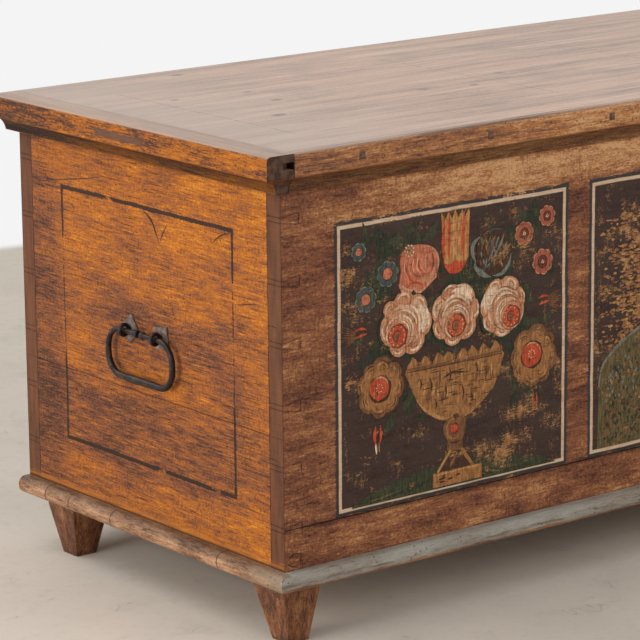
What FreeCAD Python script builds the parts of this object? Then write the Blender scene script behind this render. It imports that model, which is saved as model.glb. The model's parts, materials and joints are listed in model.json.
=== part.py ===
import FreeCAD, Part
import math
import os
import Sketcher

# Painted trunk: a pine blanket chest with a dovetailed case, a breadboard lid on strap
# hinges, a bail handle at each end, a till, and four tapered feet.
# Frame: X along the front to the right, Y to the back, Z up. The origin is on the floor,
# under the middle of the trunk. Lengths are in millimetres, turns in degrees.

doc = FreeCAD.newDocument("painted_trunk")
sheet = doc.addObject("Spreadsheet::Sheet", "Sizes")

DRIVING_SIZES = [
    # Case of dovetailed boards
    ("case_length", 1284),
    ("case_depth", 540),
    ("case_height", 469),
    ("wall", 26),
    ("pin_count", 6),
    ("pin_tip", 6),
    ("pin_root", 14),
    ("half_pin_tip", 7),
    ("half_pin_root", 11),
    ("first_pin_height", 50),
    ("last_pin_drop", 51),
    # Bottom boards and feet
    ("bottom_thickness", 22),
    ("bottom_overhang", 17.5),
    ("bottom_round", 10),
    ("foot_height", 66),
    ("foot_top", 56),
    ("foot_toe", 30),
    ("foot_end_inset", 17),
    ("foot_front_inset", 19),
    ("front_toe_lean", 6),
    ("foot_tenon_radius", 12),
    # Lid: boards, end cleats and front moulding
    ("lid_thickness", 28),
    ("lid_end_overhang", 30),
    ("lid_front_overhang", 15),
    ("lid_back_overhang", 17.5),
    ("lid_round", 6),
    ("lip_height", 19),
    ("lip_gap", 0.5),
    ("lip_end_stand", 9),
    ("lip_front_stand", 3.5),
    ("cove_end_radius", 22),
    ("cove_front_radius", 20),
    ("cleat_width", 39),
    ("groove_depth", 16),
    ("tongue_length", 10),
    ("tongue_thickness", 9),
    # Strap hinges
    ("hinge_inset", 210),
    ("strap_width", 32),
    ("strap_tip_width", 16),
    ("strap_thickness", 3),
    ("lid_strap_length", 230),
    ("case_strap_length", 150),
    ("knuckle_radius", 6),
    ("knuckle_gap", 0.4),
    ("hinge_clearance", 0.4),
    ("hinge_pin_radius", 3),
    ("pin_fit", 0.05),
    ("pin_head_radius", 4.5),
    ("pin_head_height", 1.5),
    # Bail handles
    ("handle_drop", 232),
    ("eye_spacing", 65),
    ("eye_wire", 2.3),
    ("eye_bore", 4.2),
    ("eye_shank", 3),
    ("clench_length", 14),
    ("plate_side", 27),
    ("plate_thickness", 2),
    ("plate_front_turn", 8),
    ("plate_back_turn", 38),
    ("bail_width", 134),
    ("bail_drop", 58),
    ("bail_middle_radius", 4.8),
    ("bail_end_radius", 3.3),
    ("bail_shoulder_radius", 26),
    ("bail_foot_radius", 26),
    ("bail_end_gap", 5),
    ("bail_play", 0.3),
    ("bail_knob_radius", 4.8),
    ("bail_knob_width", 8),
    ("bail_knob_bevel", 1.5),
    # Till
    ("till_width", 150),
    ("till_depth", 110),
    ("till_drop", 40),
    ("till_board", 12),
    ("till_housing", 6),
    # Lock and hasp
    ("lock_width", 110),
    ("lock_height", 78),
    ("lock_depth", 18),
    ("lock_sheet", 1.5),
    ("lock_flange", 12),
    ("lock_drop", 6),
    ("bolt_length", 52),
    ("bolt_height", 10),
    ("bolt_depth", 4),
    ("bolt_drop", 14),
    ("bolt_play", 0.3),
    ("bolt_gap", 2),
    ("talon_width", 7),
    ("talon_depth", 3),
    ("guide_width", 8),
    ("guide_wall", 2),
    ("guide_spacing", 22),
    ("hasp_offset", 20),
    ("hasp_width", 60),
    ("hasp_depth", 38),
    ("hasp_sheet", 2.5),
    ("staple_thickness", 5),
    ("staple_bar", 2.5),
    ("staple_play", 1),
    ("staple_clearance", 1.2),
    ("keyhole_radius", 3.5),
    ("keyhole_slot", 3),
    ("keyhole_reach", 13),
    ("keyhole_drop", 24),
    # Wrought nails
    ("nail_head", 9),
    ("nail_crown", 4),
    ("nail_head_height", 2),
    ("nail_shank", 4),
    ("nail_point", 2),
    ("bottom_nail_length", 52),
    ("moulding_nail_length", 36),
    ("strap_nail_length", 18),
    ("strap_nail_margin", 18),
    ("lock_nail_length", 18),
    ("hasp_nail_margin", 8),
]

# Where boards meet, as shares of the depth that they make up together
BOTTOM_SEAM_SHARES = (0, 0.232, 0.63, 0.89, 1)
LID_SEAM_SHARES = (0, 0.36, 0.69, 1)

# Where the end boards meet, as a share of the case's height
END_SEAM_SHARE = 0.341

# Where the back feet stand, as a share of the bottom's depth
BACK_FOOT_SHARE = 0.846

# Sides of the forged bars
EYE_SIDES = 8
BAR_SIDES = 12

# Where nails go along a board, as shares of its length
BOTTOM_NAIL_SHARES = (0.12, 0.37, 0.63, 0.88)
END_NAIL_SHARES = (0.2, 0.45, 0.7, 0.93)
MOULDING_NAIL_SHARES = (0.084, 0.236, 0.388, 0.54, 0.692, 0.844)


class Size:
    """A length with its value and the expression that reads it from the sheet."""

    def __init__(self, value, text):
        self.value = value
        self.text = text

    def __add__(self, other):
        other = as_size(other)
        return Size(self.value + other.value, f"({self.text} + {other.text})")

    def __sub__(self, other):
        other = as_size(other)
        return Size(self.value - other.value, f"({self.text} - {other.text})")

    def __mul__(self, other):
        other = as_size(other)
        return Size(self.value * other.value, f"({self.text} * {other.text})")

    def __truediv__(self, other):
        other = as_size(other)
        return Size(self.value / other.value, f"({self.text} / {other.text})")

    def __neg__(self):
        return Size(-self.value, f"(0 - {self.text})")


def as_size(number):
    return number if isinstance(number, Size) else Size(number, str(number))


def fill_sheet():
    """Write the driving sizes to the sheet and return them by name."""
    sizes = {}
    for row, (alias, number) in enumerate(DRIVING_SIZES, start=1):
        sheet.set(f"A{row}", alias)
        sheet.set(f"B{row}", str(number))
        sheet.setAlias(f"B{row}", alias)
        sizes[alias] = Size(number, f"Sizes.{alias}")
    doc.recompute()
    return sizes


S = fill_sheet()
ZERO = as_size(0)

# Planes of the case that its pieces share
left = -S["case_length"] / 2
front = -S["case_depth"] / 2
back = S["case_depth"] / 2
bottom_under = S["foot_height"]
bottom_length = S["case_length"] + S["bottom_overhang"] * 2
bottom_depth = S["case_depth"] + S["bottom_overhang"]
case_bottom = bottom_under + S["bottom_thickness"]
case_top = case_bottom + S["case_height"]
lid_top = case_top + S["lid_thickness"]
lip_bottom = case_top - S["lip_height"]
pin_pitch = (S["case_height"] - S["last_pin_drop"] - S["first_pin_height"]) / (S["pin_count"] - 1)
pin_total = int(S["pin_count"].value)

# Lid planes: the boards' ends and the front edge that the moulding covers
cleat_outer = left - S["lid_end_overhang"]
cleat_inner = cleat_outer + S["cleat_width"]
lid_front = front - S["lip_gap"]
lid_back = back + S["lid_back_overhang"]
tongue_bottom = case_top + (S["lid_thickness"] - S["tongue_thickness"]) / 2

# Hinge axis, under the lid's back overhang
hinge_y = back + S["knuckle_radius"] + S["hinge_clearance"]
hinge_z = case_top - S["knuckle_radius"] - S["hinge_clearance"]

# Lock: the room inside its case, and the middle of its bolt
lock_back = front + S["wall"] + S["lock_depth"]
lock_top = case_top - S["lock_drop"]
bolt_y = front + S["wall"] + (S["lock_depth"] - S["lock_sheet"]) / 2
bolt_z = lock_top - S["bolt_drop"]
bolt_end = S["hasp_offset"] - S["staple_thickness"] / 2 - S["bolt_gap"]
staple_width = S["bolt_depth"] + (S["staple_play"] + S["staple_bar"]) * 2

# Eyes stand off their plates, and the bail's arms hang low in them
eye_stand = S["plate_thickness"] + S["eye_bore"] + S["eye_wire"] * 2
bail_x = left - eye_stand
eye_z = case_top - S["handle_drop"]
bail_z = eye_z - (S["eye_bore"] - S["bail_end_radius"] - S["bail_play"])


def bind(thing, prop, size):
    """Tie a property to the sheet."""
    thing.setExpression(prop, as_size(size).text)


def place(thing, x, y, z):
    bind(thing, "Placement.Base.x", x)
    bind(thing, "Placement.Base.y", y)
    bind(thing, "Placement.Base.z", z)
    return thing


def box(name, corner, length, width, height):
    piece = doc.addObject("Part::Box", name)
    bind(piece, "Length", length)
    bind(piece, "Width", width)
    bind(piece, "Height", height)
    return place(piece, *corner)


def cut(name, base, tools):
    """Base without what the tools fill."""
    tool = tools[0]
    if len(tools) > 1:
        tool = doc.addObject("Part::MultiFuse", f"{name}_tools")
        tool.Shapes = tools
    piece = doc.addObject("Part::Cut", name)
    piece.Base = base
    piece.Tool = tool
    return piece


def common(name, base, tool):
    piece = doc.addObject("Part::Common", name)
    piece.Base = base
    piece.Tool = tool
    return piece


def fuse(name, parts):
    piece = doc.addObject("Part::MultiFuse", name)
    piece.Shapes = parts
    return piece


def mirrored(name, source):
    """The same piece at the other end of the trunk."""
    piece = doc.addObject("Part::Mirroring", name)
    piece.Source = source
    piece.Normal = FreeCAD.Vector(1, 0, 0)
    return piece


def fixed_shape(name, shape):
    piece = doc.addObject("Part::Feature", name)
    piece.Shape = shape
    return piece


def new_sketch(body, name, role, lift=None):
    """A sketch on one of the body's own planes, lifted off it by a bound length."""
    sketch = body.newObject("Sketcher::SketchObject", name)
    plane = [item for item in body.Origin.OriginFeatures if item.Role == role][0]
    sketch.AttachmentSupport = [(plane, "")]
    sketch.MapMode = "FlatFace"
    if lift is not None:
        bind(sketch, "AttachmentOffset.Base.z", lift)
    return sketch


def fix_point(sketch, element, end, x, y):
    """Hold one end of an element at bound distances from the sketch's origin."""
    for kind, size in (("DistanceX", as_size(x)), ("DistanceY", as_size(y))):
        index = sketch.addConstraint(Sketcher.Constraint(kind, -1, 1, element, end, float(size.value)))
        sketch.setExpression(f"Constraints[{index}]", size.text)


def arc_between(start, end, radius, bulge):
    """A circle's arc from start to end; bulge is 1 where it turns left, -1 where right."""
    chord = end - start
    middle = (start + end) * 0.5
    aside = FreeCAD.Vector(-chord.y, chord.x, 0).normalize()
    reach = math.sqrt(radius ** 2 - (chord.Length / 2) ** 2)
    centre = middle + aside * reach * bulge
    first, last = (start, end) if bulge > 0 else (end, start)
    angles = [math.atan2(point.y - centre.y, point.x - centre.x) for point in (first, last)]
    circle = Part.Circle(centre, FreeCAD.Vector(0, 0, 1), radius)
    return Part.ArcOfCircle(circle, angles[0], angles[1])


def draw_outline(sketch, points, arcs=None):
    """A closed outline through bound points; arcs maps a side's number to (radius, bulge)."""
    arcs = arcs or {}
    corners = [FreeCAD.Vector(as_size(x).value, as_size(y).value, 0) for x, y in points]
    count = len(points)
    tails = []
    for side in range(count):
        start, end = corners[side], corners[(side + 1) % count]
        if side in arcs:
            radius, bulge = arcs[side]
            sketch.addGeometry(arc_between(start, end, radius.value, bulge), False)
            tails.append((1, 2) if bulge > 0 else (2, 1))
        else:
            sketch.addGeometry(Part.LineSegment(start, end), False)
            tails.append((1, 2))
    for side in range(count):
        after = (side + 1) % count
        sketch.addConstraint(Sketcher.Constraint("Coincident", side, tails[side][1], after, tails[after][0]))
        fix_point(sketch, side, tails[side][0], *points[side])
        if side in arcs:
            radius = arcs[side][0]
            index = sketch.addConstraint(Sketcher.Constraint("Radius", side, float(radius.value)))
            sketch.setExpression(f"Constraints[{index}]", radius.text)
    return sketch


def draw_circle(sketch, radius):
    """A circle about the sketch's origin."""
    sketch.addGeometry(Part.Circle(FreeCAD.Vector(), FreeCAD.Vector(0, 0, 1), radius.value), False)
    sketch.addConstraint(Sketcher.Constraint("Coincident", 0, 3, -1, 1))
    index = sketch.addConstraint(Sketcher.Constraint("Radius", 0, float(radius.value)))
    sketch.setExpression(f"Constraints[{index}]", radius.text)
    return sketch


def new_body(name):
    return doc.addObject("PartDesign::Body", name)


def pad(body, sketch, length, reverse=False):
    feature = body.newObject("PartDesign::Pad", f"{sketch.Name}_pad")
    feature.Profile = sketch
    feature.Reversed = reverse
    bind(feature, "Length", length)
    return feature


def fillet(body, feature, radius, wanted):
    """Round the edges of a feature whose middle passes the test."""
    doc.recompute()
    names = []
    for number, edge in enumerate(feature.Shape.Edges, start=1):
        middle = edge.valueAt((edge.FirstParameter + edge.LastParameter) / 2)
        along = (edge.Vertexes[-1].Point - edge.Vertexes[0].Point).normalize()
        if wanted(middle, along):
            names.append(f"Edge{number}")
    rounding = body.newObject("PartDesign::Fillet", f"{feature.Name}_round")
    rounding.Base = (feature, names)
    bind(rounding, "Radius", radius)
    return rounding


def near(value, size):
    return math.isclose(value, as_size(size).value, abs_tol=1e-6 * S["case_length"].value)


# Nails


def square_wire(side, z):
    half = side / 2
    corners = [(-half, -half), (half, -half), (half, half), (-half, half), (-half, -half)]
    return Part.makePolygon([FreeCAD.Vector(x, y, z) for x, y in corners])


def nail_shape(length):
    """A wrought nail that points up, its head just below the origin."""
    head = Part.makeLoft(
        [square_wire(S["nail_crown"].value, -S["nail_head_height"].value),
         square_wire(S["nail_head"].value, ZERO.value)], True, True)
    shank = Part.makeLoft(
        [square_wire(S["nail_shank"].value, ZERO.value),
         square_wire(S["nail_point"].value, length.value)], True, True)
    return head.fuse(shank).removeSplitter()


def nail_group(name, length, places, axis=FreeCAD.Vector(0, 0, 1)):
    """Separate nails at the places, driven along the axis."""
    turn = FreeCAD.Rotation(FreeCAD.Vector(0, 0, 1), axis)
    nails = []
    for x, y, z in places:
        nail = nail_shape(length)
        spot = FreeCAD.Vector(as_size(x).value, as_size(y).value, as_size(z).value)
        nail.Placement = FreeCAD.Placement(spot, turn)
        nails.append(nail)
    return fixed_shape(name, Part.makeCompound(nails))


# Case: front and back boards carry the tails, end boards the pins


def pin_height(number):
    return S["first_pin_height"] + pin_pitch * number


def tail_end(first, last):
    """The dovetailed end of a board from pin `first` up to pin `last`, as (x, z) from its corner.

    None stands for the half pin at the case's bottom or top.
    """
    wall = S["wall"]
    points = []
    if first is None:
        points += [(wall, ZERO), (wall, S["half_pin_root"]), (ZERO, S["half_pin_tip"])]
        first = -1
    else:
        seam = pin_height(first)
        points += [(wall, seam), (wall, seam + S["pin_root"] / 2), (ZERO, seam + S["pin_tip"] / 2)]
    stop = pin_total if last is None else last
    for number in range(first + 1, stop):
        middle = pin_height(number)
        points += [
            (ZERO, middle - S["pin_tip"] / 2),
            (wall, middle - S["pin_root"] / 2),
            (wall, middle + S["pin_root"] / 2),
            (ZERO, middle + S["pin_tip"] / 2),
        ]
    if last is None:
        top = S["case_height"]
        points += [(ZERO, top - S["half_pin_tip"]), (wall, top - S["half_pin_root"]), (wall, top)]
    else:
        seam = pin_height(last)
        points += [(ZERO, seam - S["pin_tip"] / 2), (wall, seam - S["pin_root"] / 2), (wall, seam)]
    return points


def tail_board(name, first, last, y):
    """A long board with tails at both ends, between two pins' middles."""
    body = new_body(name)
    end = tail_end(first, last)
    other_end = [(S["case_length"] - x, z) for x, z in reversed(end)]
    sketch = new_sketch(body, f"{name}_outline", "XZ_Plane")
    draw_outline(sketch, end[::-1] + other_end[::-1])
    pad(body, sketch, S["wall"], reverse=True)
    return place(body, left, y, case_bottom)


def long_boards():
    """Front and back, each of two boards that meet at a pin's middle."""
    back_y = back - S["wall"]
    return {
        "front_board_lower": tail_board("front_lower_blank", None, 0, front),
        "front_board_upper": tail_board("front_upper_blank", 0, None, front),
        "back_board_lower": tail_board("back_lower_blank", None, 2, back_y),
        "back_board_upper": tail_board("back_upper_blank", 2, None, back_y),
    }


def end_board(name, x, low, high, tail_boards):
    """An end board; its sockets are cut by the tails that they hold."""
    corner = (x, front, case_bottom + low)
    blank = box(f"{name}_plank", corner, S["wall"], S["case_depth"], high - low)
    return cut(f"{name}_blank", blank, tail_boards)


# Bottom and feet


def rounded_slab():
    """The whole bottom, rounded at its front and ends, before it is divided into boards."""
    body = new_body("bottom_slab")
    sketch = new_sketch(body, "bottom_outline", "XY_Plane")
    far_corner = (bottom_length, bottom_depth)
    draw_outline(sketch, [(ZERO, ZERO), (bottom_length, ZERO), far_corner, (ZERO, bottom_depth)])
    slab = pad(body, sketch, S["bottom_thickness"])
    fillet(body, slab, S["bottom_round"],
           lambda middle, along: near(along.z, ZERO) and not near(middle.y, bottom_depth))
    return place(body, left - S["bottom_overhang"], front - S["bottom_overhang"], bottom_under)


def foot(name, x, y, lean):
    """A tapered square foot with a round tenon through the bottom board. Its toe leans to the front."""
    body = new_body(name)
    square = []
    for part_name, side, lift, shift in (("top", S["foot_top"], ZERO, ZERO),
                                         ("toe", S["foot_toe"], -S["foot_height"], lean)):
        half = side / 2
        sketch = new_sketch(body, f"{name}_{part_name}", "XY_Plane", lift)
        near_side = -half - shift
        far_side = half - shift
        draw_outline(sketch, [(-half, near_side), (half, near_side), (half, far_side), (-half, far_side)])
        square.append(sketch)
    taper = body.newObject("PartDesign::AdditiveLoft", f"{name}_taper")
    taper.Profile = square[0]
    taper.Sections = [square[1]]
    taper.Ruled = True
    doc.recompute()
    tenon = draw_circle(new_sketch(body, f"{name}_tenon", "XY_Plane"), S["foot_tenon_radius"])
    pad(body, tenon, S["bottom_thickness"])
    return place(body, x, y, bottom_under)


def feet():
    end = left + S["foot_end_inset"]
    front_y = front + S["foot_front_inset"]
    back_y = front - S["bottom_overhang"] + bottom_depth * BACK_FOOT_SHARE
    return {
        "foot_front_left": foot("foot_front_left", end, front_y, S["front_toe_lean"]),
        "foot_front_right": foot("foot_front_right", -end, front_y, S["front_toe_lean"]),
        "foot_back_left": foot("foot_back_left", end, back_y, ZERO),
        "foot_back_right": foot("foot_back_right", -end, back_y, ZERO),
    }


def bottom_boards(slab, holes):
    over = S["bottom_overhang"]
    boards = {}
    seams = zip(BOTTOM_SEAM_SHARES[:-1], BOTTOM_SEAM_SHARES[1:])
    for number, (low, high) in enumerate(seams, start=1):
        corner = (left - over, front - over + bottom_depth * low, bottom_under)
        width = bottom_depth * (high - low)
        strip = box(f"bottom_strip_{number}", corner, bottom_length, width, S["bottom_thickness"])
        plank = common(f"bottom_plank_{number}", slab, strip)
        boards[f"bottom_board_{number}"] = cut(f"bottom_board_{number}", plank, holes)
    return boards


def bottom_nail_places():
    """Nails up through the bottom into the middle of each wall's edge."""
    half_wall = S["wall"] / 2
    places = []
    for share in BOTTOM_NAIL_SHARES:
        x = left + S["case_length"] * share
        places += [(x, front + half_wall, bottom_under), (x, back - half_wall, bottom_under)]
    for share in END_NAIL_SHARES:
        y = front + S["case_depth"] * share
        places += [(left + half_wall, y, bottom_under), (-left - half_wall, y, bottom_under)]
    return places


# Till


def till():
    """An open tray across the left end: a side board and a bottom, housed in the case."""
    inside = left + S["wall"]
    housing = S["till_housing"]
    top = case_top - S["till_drop"]
    low = top - S["till_depth"]
    y = front + S["wall"] - housing
    span = S["case_depth"] - (S["wall"] - housing) * 2
    board = S["till_board"]
    side = box("till_side", (inside + S["till_width"], y, low - board), board, span, top - low + board)
    base = box("till_bottom", (inside - housing, y, low - board), S["till_width"] + housing, span, board)
    return {"till_side": side, "till_bottom": base}


# Lid


def lip_profile(outer, stand, gap):
    """The moulded edge's outer line from its top to the inner side of the lip, as (across, z)."""
    return [(outer, lid_top), (outer, case_top), (stand, lip_bottom), (gap, lip_bottom), (gap, case_top)]


def front_return():
    """A bar with the front moulding's profile over the whole lid, to shape the cleats' front ends."""
    body = new_body("front_return")
    outline = [(front - S["lid_front_overhang"], lid_top), (front - S["lid_front_overhang"], case_top),
               (front - S["lip_front_stand"], lip_bottom), (lid_back, lip_bottom), (lid_back, lid_top)]
    sketch = new_sketch(body, "front_return_outline", "YZ_Plane")
    draw_outline(sketch, outline, {1: (S["cove_front_radius"], -1)})
    pad(body, sketch, S["cleat_width"])
    return place(body, cleat_outer, ZERO, ZERO)


def end_cleat():
    """A lid end: a cross board grooved for the boards' tongues, with a moulded lip outside the case."""
    body = new_body("left_cleat_blank")
    groove = cleat_inner - S["groove_depth"]
    tongue_top = tongue_bottom + S["tongue_thickness"]
    outline = lip_profile(cleat_outer, left - S["lip_end_stand"], left - S["lip_gap"])
    outline += [(cleat_inner, case_top), (cleat_inner, tongue_bottom), (groove, tongue_bottom),
                (groove, tongue_top), (cleat_inner, tongue_top), (cleat_inner, lid_top)]
    sketch = new_sketch(body, "left_cleat_outline", "XZ_Plane")
    draw_outline(sketch, outline, {1: (S["cove_end_radius"], -1)})
    bar = pad(body, sketch, S["case_depth"] + S["lid_front_overhang"] + S["lid_back_overhang"], reverse=True)
    fillet(body, bar, S["lid_round"],
           lambda middle, along: near(middle.x, cleat_outer) and near(middle.z, lid_top))
    outer = front - S["lid_front_overhang"]
    place(body, ZERO, outer, ZERO)
    lip_end = left - S["lip_gap"]
    corner = box("left_cleat_corner", (lip_end, outer, lip_bottom), cleat_inner - lip_end,
                 S["lid_front_overhang"] - S["lip_gap"], S["lip_height"])
    return common("left_end_cleat", fuse("left_cleat_whole", [body, corner]), front_return())


def front_moulding():
    """The strip nailed to the lid's front edge, hanging over the case's front."""
    body = new_body("moulding_blank")
    outline = lip_profile(front - S["lid_front_overhang"], front - S["lip_front_stand"], lid_front)
    outline.append((lid_front, lid_top))
    sketch = new_sketch(body, "moulding_outline", "YZ_Plane")
    draw_outline(sketch, outline, {1: (S["cove_front_radius"], -1)})
    strip = pad(body, sketch, -cleat_inner * 2)
    outer = front - S["lid_front_overhang"]
    fillet(body, strip, S["lid_round"],
           lambda middle, along: near(middle.y, outer) and near(middle.z, lid_top))
    return place(body, cleat_inner, ZERO, ZERO)


def lid_board(number, low, high):
    """A lengthwise lid board with a tongue at each end."""
    depth = lid_back - lid_front
    reach = S["tongue_length"]
    body = new_body(f"lid_board_blank_{number}")
    length = -cleat_inner * 2
    tongue_low = tongue_bottom - case_top
    tongue_high = tongue_low + S["tongue_thickness"]
    thick = S["lid_thickness"]
    end = [(ZERO, ZERO), (ZERO, tongue_low), (-reach, tongue_low),
           (-reach, tongue_high), (ZERO, tongue_high), (ZERO, thick)]
    other_end = [(length - x, z) for x, z in reversed(end)]
    sketch = new_sketch(body, f"lid_board_{number}_outline", "XZ_Plane")
    draw_outline(sketch, end + other_end)
    pad(body, sketch, depth * (high - low), reverse=True)
    return place(body, cleat_inner, lid_front + depth * low, case_top)


# Strap hinges


def strap_outline(length):
    """A strap's outline from its knuckle's edge to its tapered tip, as (across, along)."""
    half = S["strap_width"] / 2
    tip = S["strap_tip_width"] / 2
    return [(-half, ZERO), (half, ZERO), (tip, length - tip), (ZERO, length), (-tip, length - tip)]


def knuckle(body, name, start, width):
    """One knuckle about the hinge axis, bored for the pin."""
    sketch = new_sketch(body, name, "YZ_Plane", start)
    draw_circle(sketch, S["knuckle_radius"])
    return pad(body, sketch, width)


def bore_knuckles(body, name):
    sketch = new_sketch(body, name, "YZ_Plane", -S["strap_width"] / 2)
    draw_circle(sketch, S["hinge_pin_radius"])
    bore = body.newObject("PartDesign::Pocket", f"{name}_pocket")
    bore.Profile = sketch
    bore.Reversed = True
    bind(bore, "Length", S["strap_width"])
    return bore


def lid_leaf(name, x):
    """The lid's strap, with the middle knuckle; its axis is the body's origin."""
    body = new_body(f"{name}_blank")
    third = S["strap_width"] / 3
    rise = S["knuckle_radius"] + S["hinge_clearance"] - S["strap_thickness"]
    knuckle(body, f"{name}_knuckle", -third / 2 + S["knuckle_gap"] / 2, third - S["knuckle_gap"])
    sketch = new_sketch(body, f"{name}_strap", "XY_Plane", rise)
    start = S["knuckle_radius"] + S["hinge_clearance"]
    shape = [(across, -start - along) for across, along in strap_outline(S["lid_strap_length"])]
    draw_outline(sketch, shape[::-1])
    pad(body, sketch, S["strap_thickness"])
    neck = new_sketch(body, f"{name}_neck", "XY_Plane", rise)
    half = (third - S["knuckle_gap"]) / 2
    draw_outline(neck, [(-half, -start), (half, -start), (half, ZERO), (-half, ZERO)])
    pad(body, neck, S["strap_thickness"])
    bore_knuckles(body, f"{name}_bore")
    return place(body, x, hinge_y, hinge_z)


def case_leaf(name, x):
    """The case's strap, with the two outer knuckles; its axis is the body's origin."""
    body = new_body(f"{name}_blank")
    third = S["strap_width"] / 3
    half = S["strap_width"] / 2
    face = S["knuckle_radius"] + S["hinge_clearance"]
    for side, start in (("left", -half), ("right", third / 2)):
        knuckle(body, f"{name}_{side}_knuckle", start, third)
        neck = new_sketch(body, f"{name}_{side}_neck", "XZ_Plane", face - S["strap_thickness"])
        low = -face
        draw_outline(neck, [(start, low), (start + third, low), (start + third, ZERO), (start, ZERO)])
        pad(body, neck, S["strap_thickness"])
        doc.recompute()
    sketch = new_sketch(body, f"{name}_strap", "XZ_Plane", face - S["strap_thickness"])
    shape = [(across, -face - along) for across, along in strap_outline(S["case_strap_length"])]
    draw_outline(sketch, shape[::-1])
    pad(body, sketch, S["strap_thickness"])
    bore_knuckles(body, f"{name}_bore")
    return place(body, x, hinge_y, hinge_z)


def hinge_pin(name, x):
    """A pin through the three knuckles, headed at both ends."""
    body = new_body(name)
    half = S["strap_width"] / 2
    shaft = new_sketch(body, f"{name}_shaft", "YZ_Plane", -half)
    pad(body, draw_circle(shaft, S["hinge_pin_radius"] - S["pin_fit"]), S["strap_width"])
    for side, start in (("left", -half - S["pin_head_height"]), ("right", half)):
        head = new_sketch(body, f"{name}_{side}_head", "YZ_Plane", start)
        pad(body, draw_circle(head, S["pin_head_radius"]), S["pin_head_height"])
    return place(body, x, hinge_y, hinge_z)


def strap_notch(name, x):
    """Room for the lid's strap where it crosses the back board's top edge."""
    width = S["strap_width"] + S["hinge_clearance"] * 2
    depth = S["strap_thickness"] + S["hinge_clearance"]
    corner = (x - width / 2, back - S["wall"], case_top - depth)
    return box(name, corner, width, S["wall"], depth)


def strap_nail_runs(skip, length, count):
    """Distances of the nails from the strap's start, past a stretch that takes none."""
    margin = S["strap_nail_margin"]
    step = (length - skip - margin * 2) / (count - 1)
    return [skip + margin + step * number for number in range(count)]


# Bail handles


def eye_places():
    """The two eyes of a handle, as their distance from the case's middle plane."""
    return {"front": -S["eye_spacing"] / 2, "back": S["eye_spacing"] / 2}


def handle_eye(name, y):
    """A split-pin eye: a ring of eight-sided bar on a shank through the end board, clenched inside."""
    section = doc.addObject("Part::RegularPolygon", f"{name}_section")
    section.Polygon = EYE_SIDES
    half_side = 180 / EYE_SIDES
    bind(section, "Circumradius", S["eye_wire"] / math.cos(math.radians(half_side)))
    turn = FreeCAD.Rotation(FreeCAD.Vector(0, 0, 1), half_side)
    section.Placement = FreeCAD.Placement(FreeCAD.Vector(), turn)
    place(section, S["eye_bore"] + S["eye_wire"], ZERO, ZERO)
    ring = doc.addObject("Part::Revolution", f"{name}_ring")
    ring.Source = section
    ring.Axis = FreeCAD.Vector(0, 1, 0)
    ring.Angle = 360
    ring.Solid = True
    place(ring, bail_x, y, eye_z)
    shank = doc.addObject("Part::Cylinder", f"{name}_shank")
    bind(shank, "Radius", S["eye_shank"])
    bind(shank, "Height", S["plate_thickness"] + S["wall"] + S["eye_wire"] + S["eye_shank"])
    shank.Placement = FreeCAD.Placement(FreeCAD.Vector(), FreeCAD.Rotation(FreeCAD.Vector(0, 1, 0), 90))
    place(shank, left - S["plate_thickness"] - S["eye_wire"], y, eye_z)
    clench = doc.addObject("Part::Cylinder", f"{name}_clench")
    bind(clench, "Radius", S["eye_shank"])
    bind(clench, "Height", S["clench_length"] * 2)
    place(clench, left + S["wall"] + S["eye_shank"], y, eye_z - S["clench_length"])
    eye = doc.addObject("Part::MultiFuse", name)
    eye.Shapes = [ring, shank, clench]
    return eye


def handle_plate(name, y, turn, eye):
    """A small square plate under an eye."""
    side = S["plate_side"]
    plate = doc.addObject("Part::Box", f"{name}_square")
    bind(plate, "Length", side)
    bind(plate, "Width", side)
    bind(plate, "Height", S["plate_thickness"])
    quarter = FreeCAD.Rotation(FreeCAD.Vector(0, 1, 0), -90)
    turned = FreeCAD.Rotation(FreeCAD.Vector(0, 0, 1), turn.value)
    rotation = quarter * turned
    plate.Placement = FreeCAD.Placement(FreeCAD.Vector(), rotation)
    middle = rotation.multVec(FreeCAD.Vector(1, 1, 0))
    place(plate, left, y - side * middle.y / 2, eye_z - side * middle.z / 2)
    return cut(name, plate, [eye])


def bail_path():
    """Half of the bail's centre line, from the middle of its foot up to its arm, in the YZ plane."""
    half = S["bail_width"].value / 2
    drop = S["bail_drop"].value
    foot_radius = S["bail_foot_radius"].value
    shoulder = S["bail_shoulder_radius"].value

    def point(y, z):
        return FreeCAD.Vector(0, y, z)

    def quarter(y, z, radius, start, stop):
        angles = (start, (start + stop) / 2, stop)
        spots = [point(y + radius * math.cos(math.radians(a)), z + radius * math.sin(math.radians(a)))
                 for a in angles]
        return Part.Arc(*spots).toShape()

    low = Part.makeLine(point(0, -drop), point(half - foot_radius, -drop))
    corner = quarter(half - foot_radius, foot_radius - drop, foot_radius, -90, 0)
    side = Part.makeLine(point(half, foot_radius - drop), point(half, -shoulder))
    bend = quarter(half - shoulder, -shoulder, shoulder, 0, 90)
    return Part.Wire([low, corner, side, bend])


def bar_section(spot, radius, side):
    """The bar's many-sided outline about a point; side is 1 or -1, the way it is seen from above."""
    points = []
    for number in range(BAR_SIDES + 1):
        turn = 2 * math.pi * (number % BAR_SIDES) / BAR_SIDES
        points.append(spot + FreeCAD.Vector(radius * math.cos(turn), 0, radius * math.sin(turn) * side))
    return Part.makePolygon(points)


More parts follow.
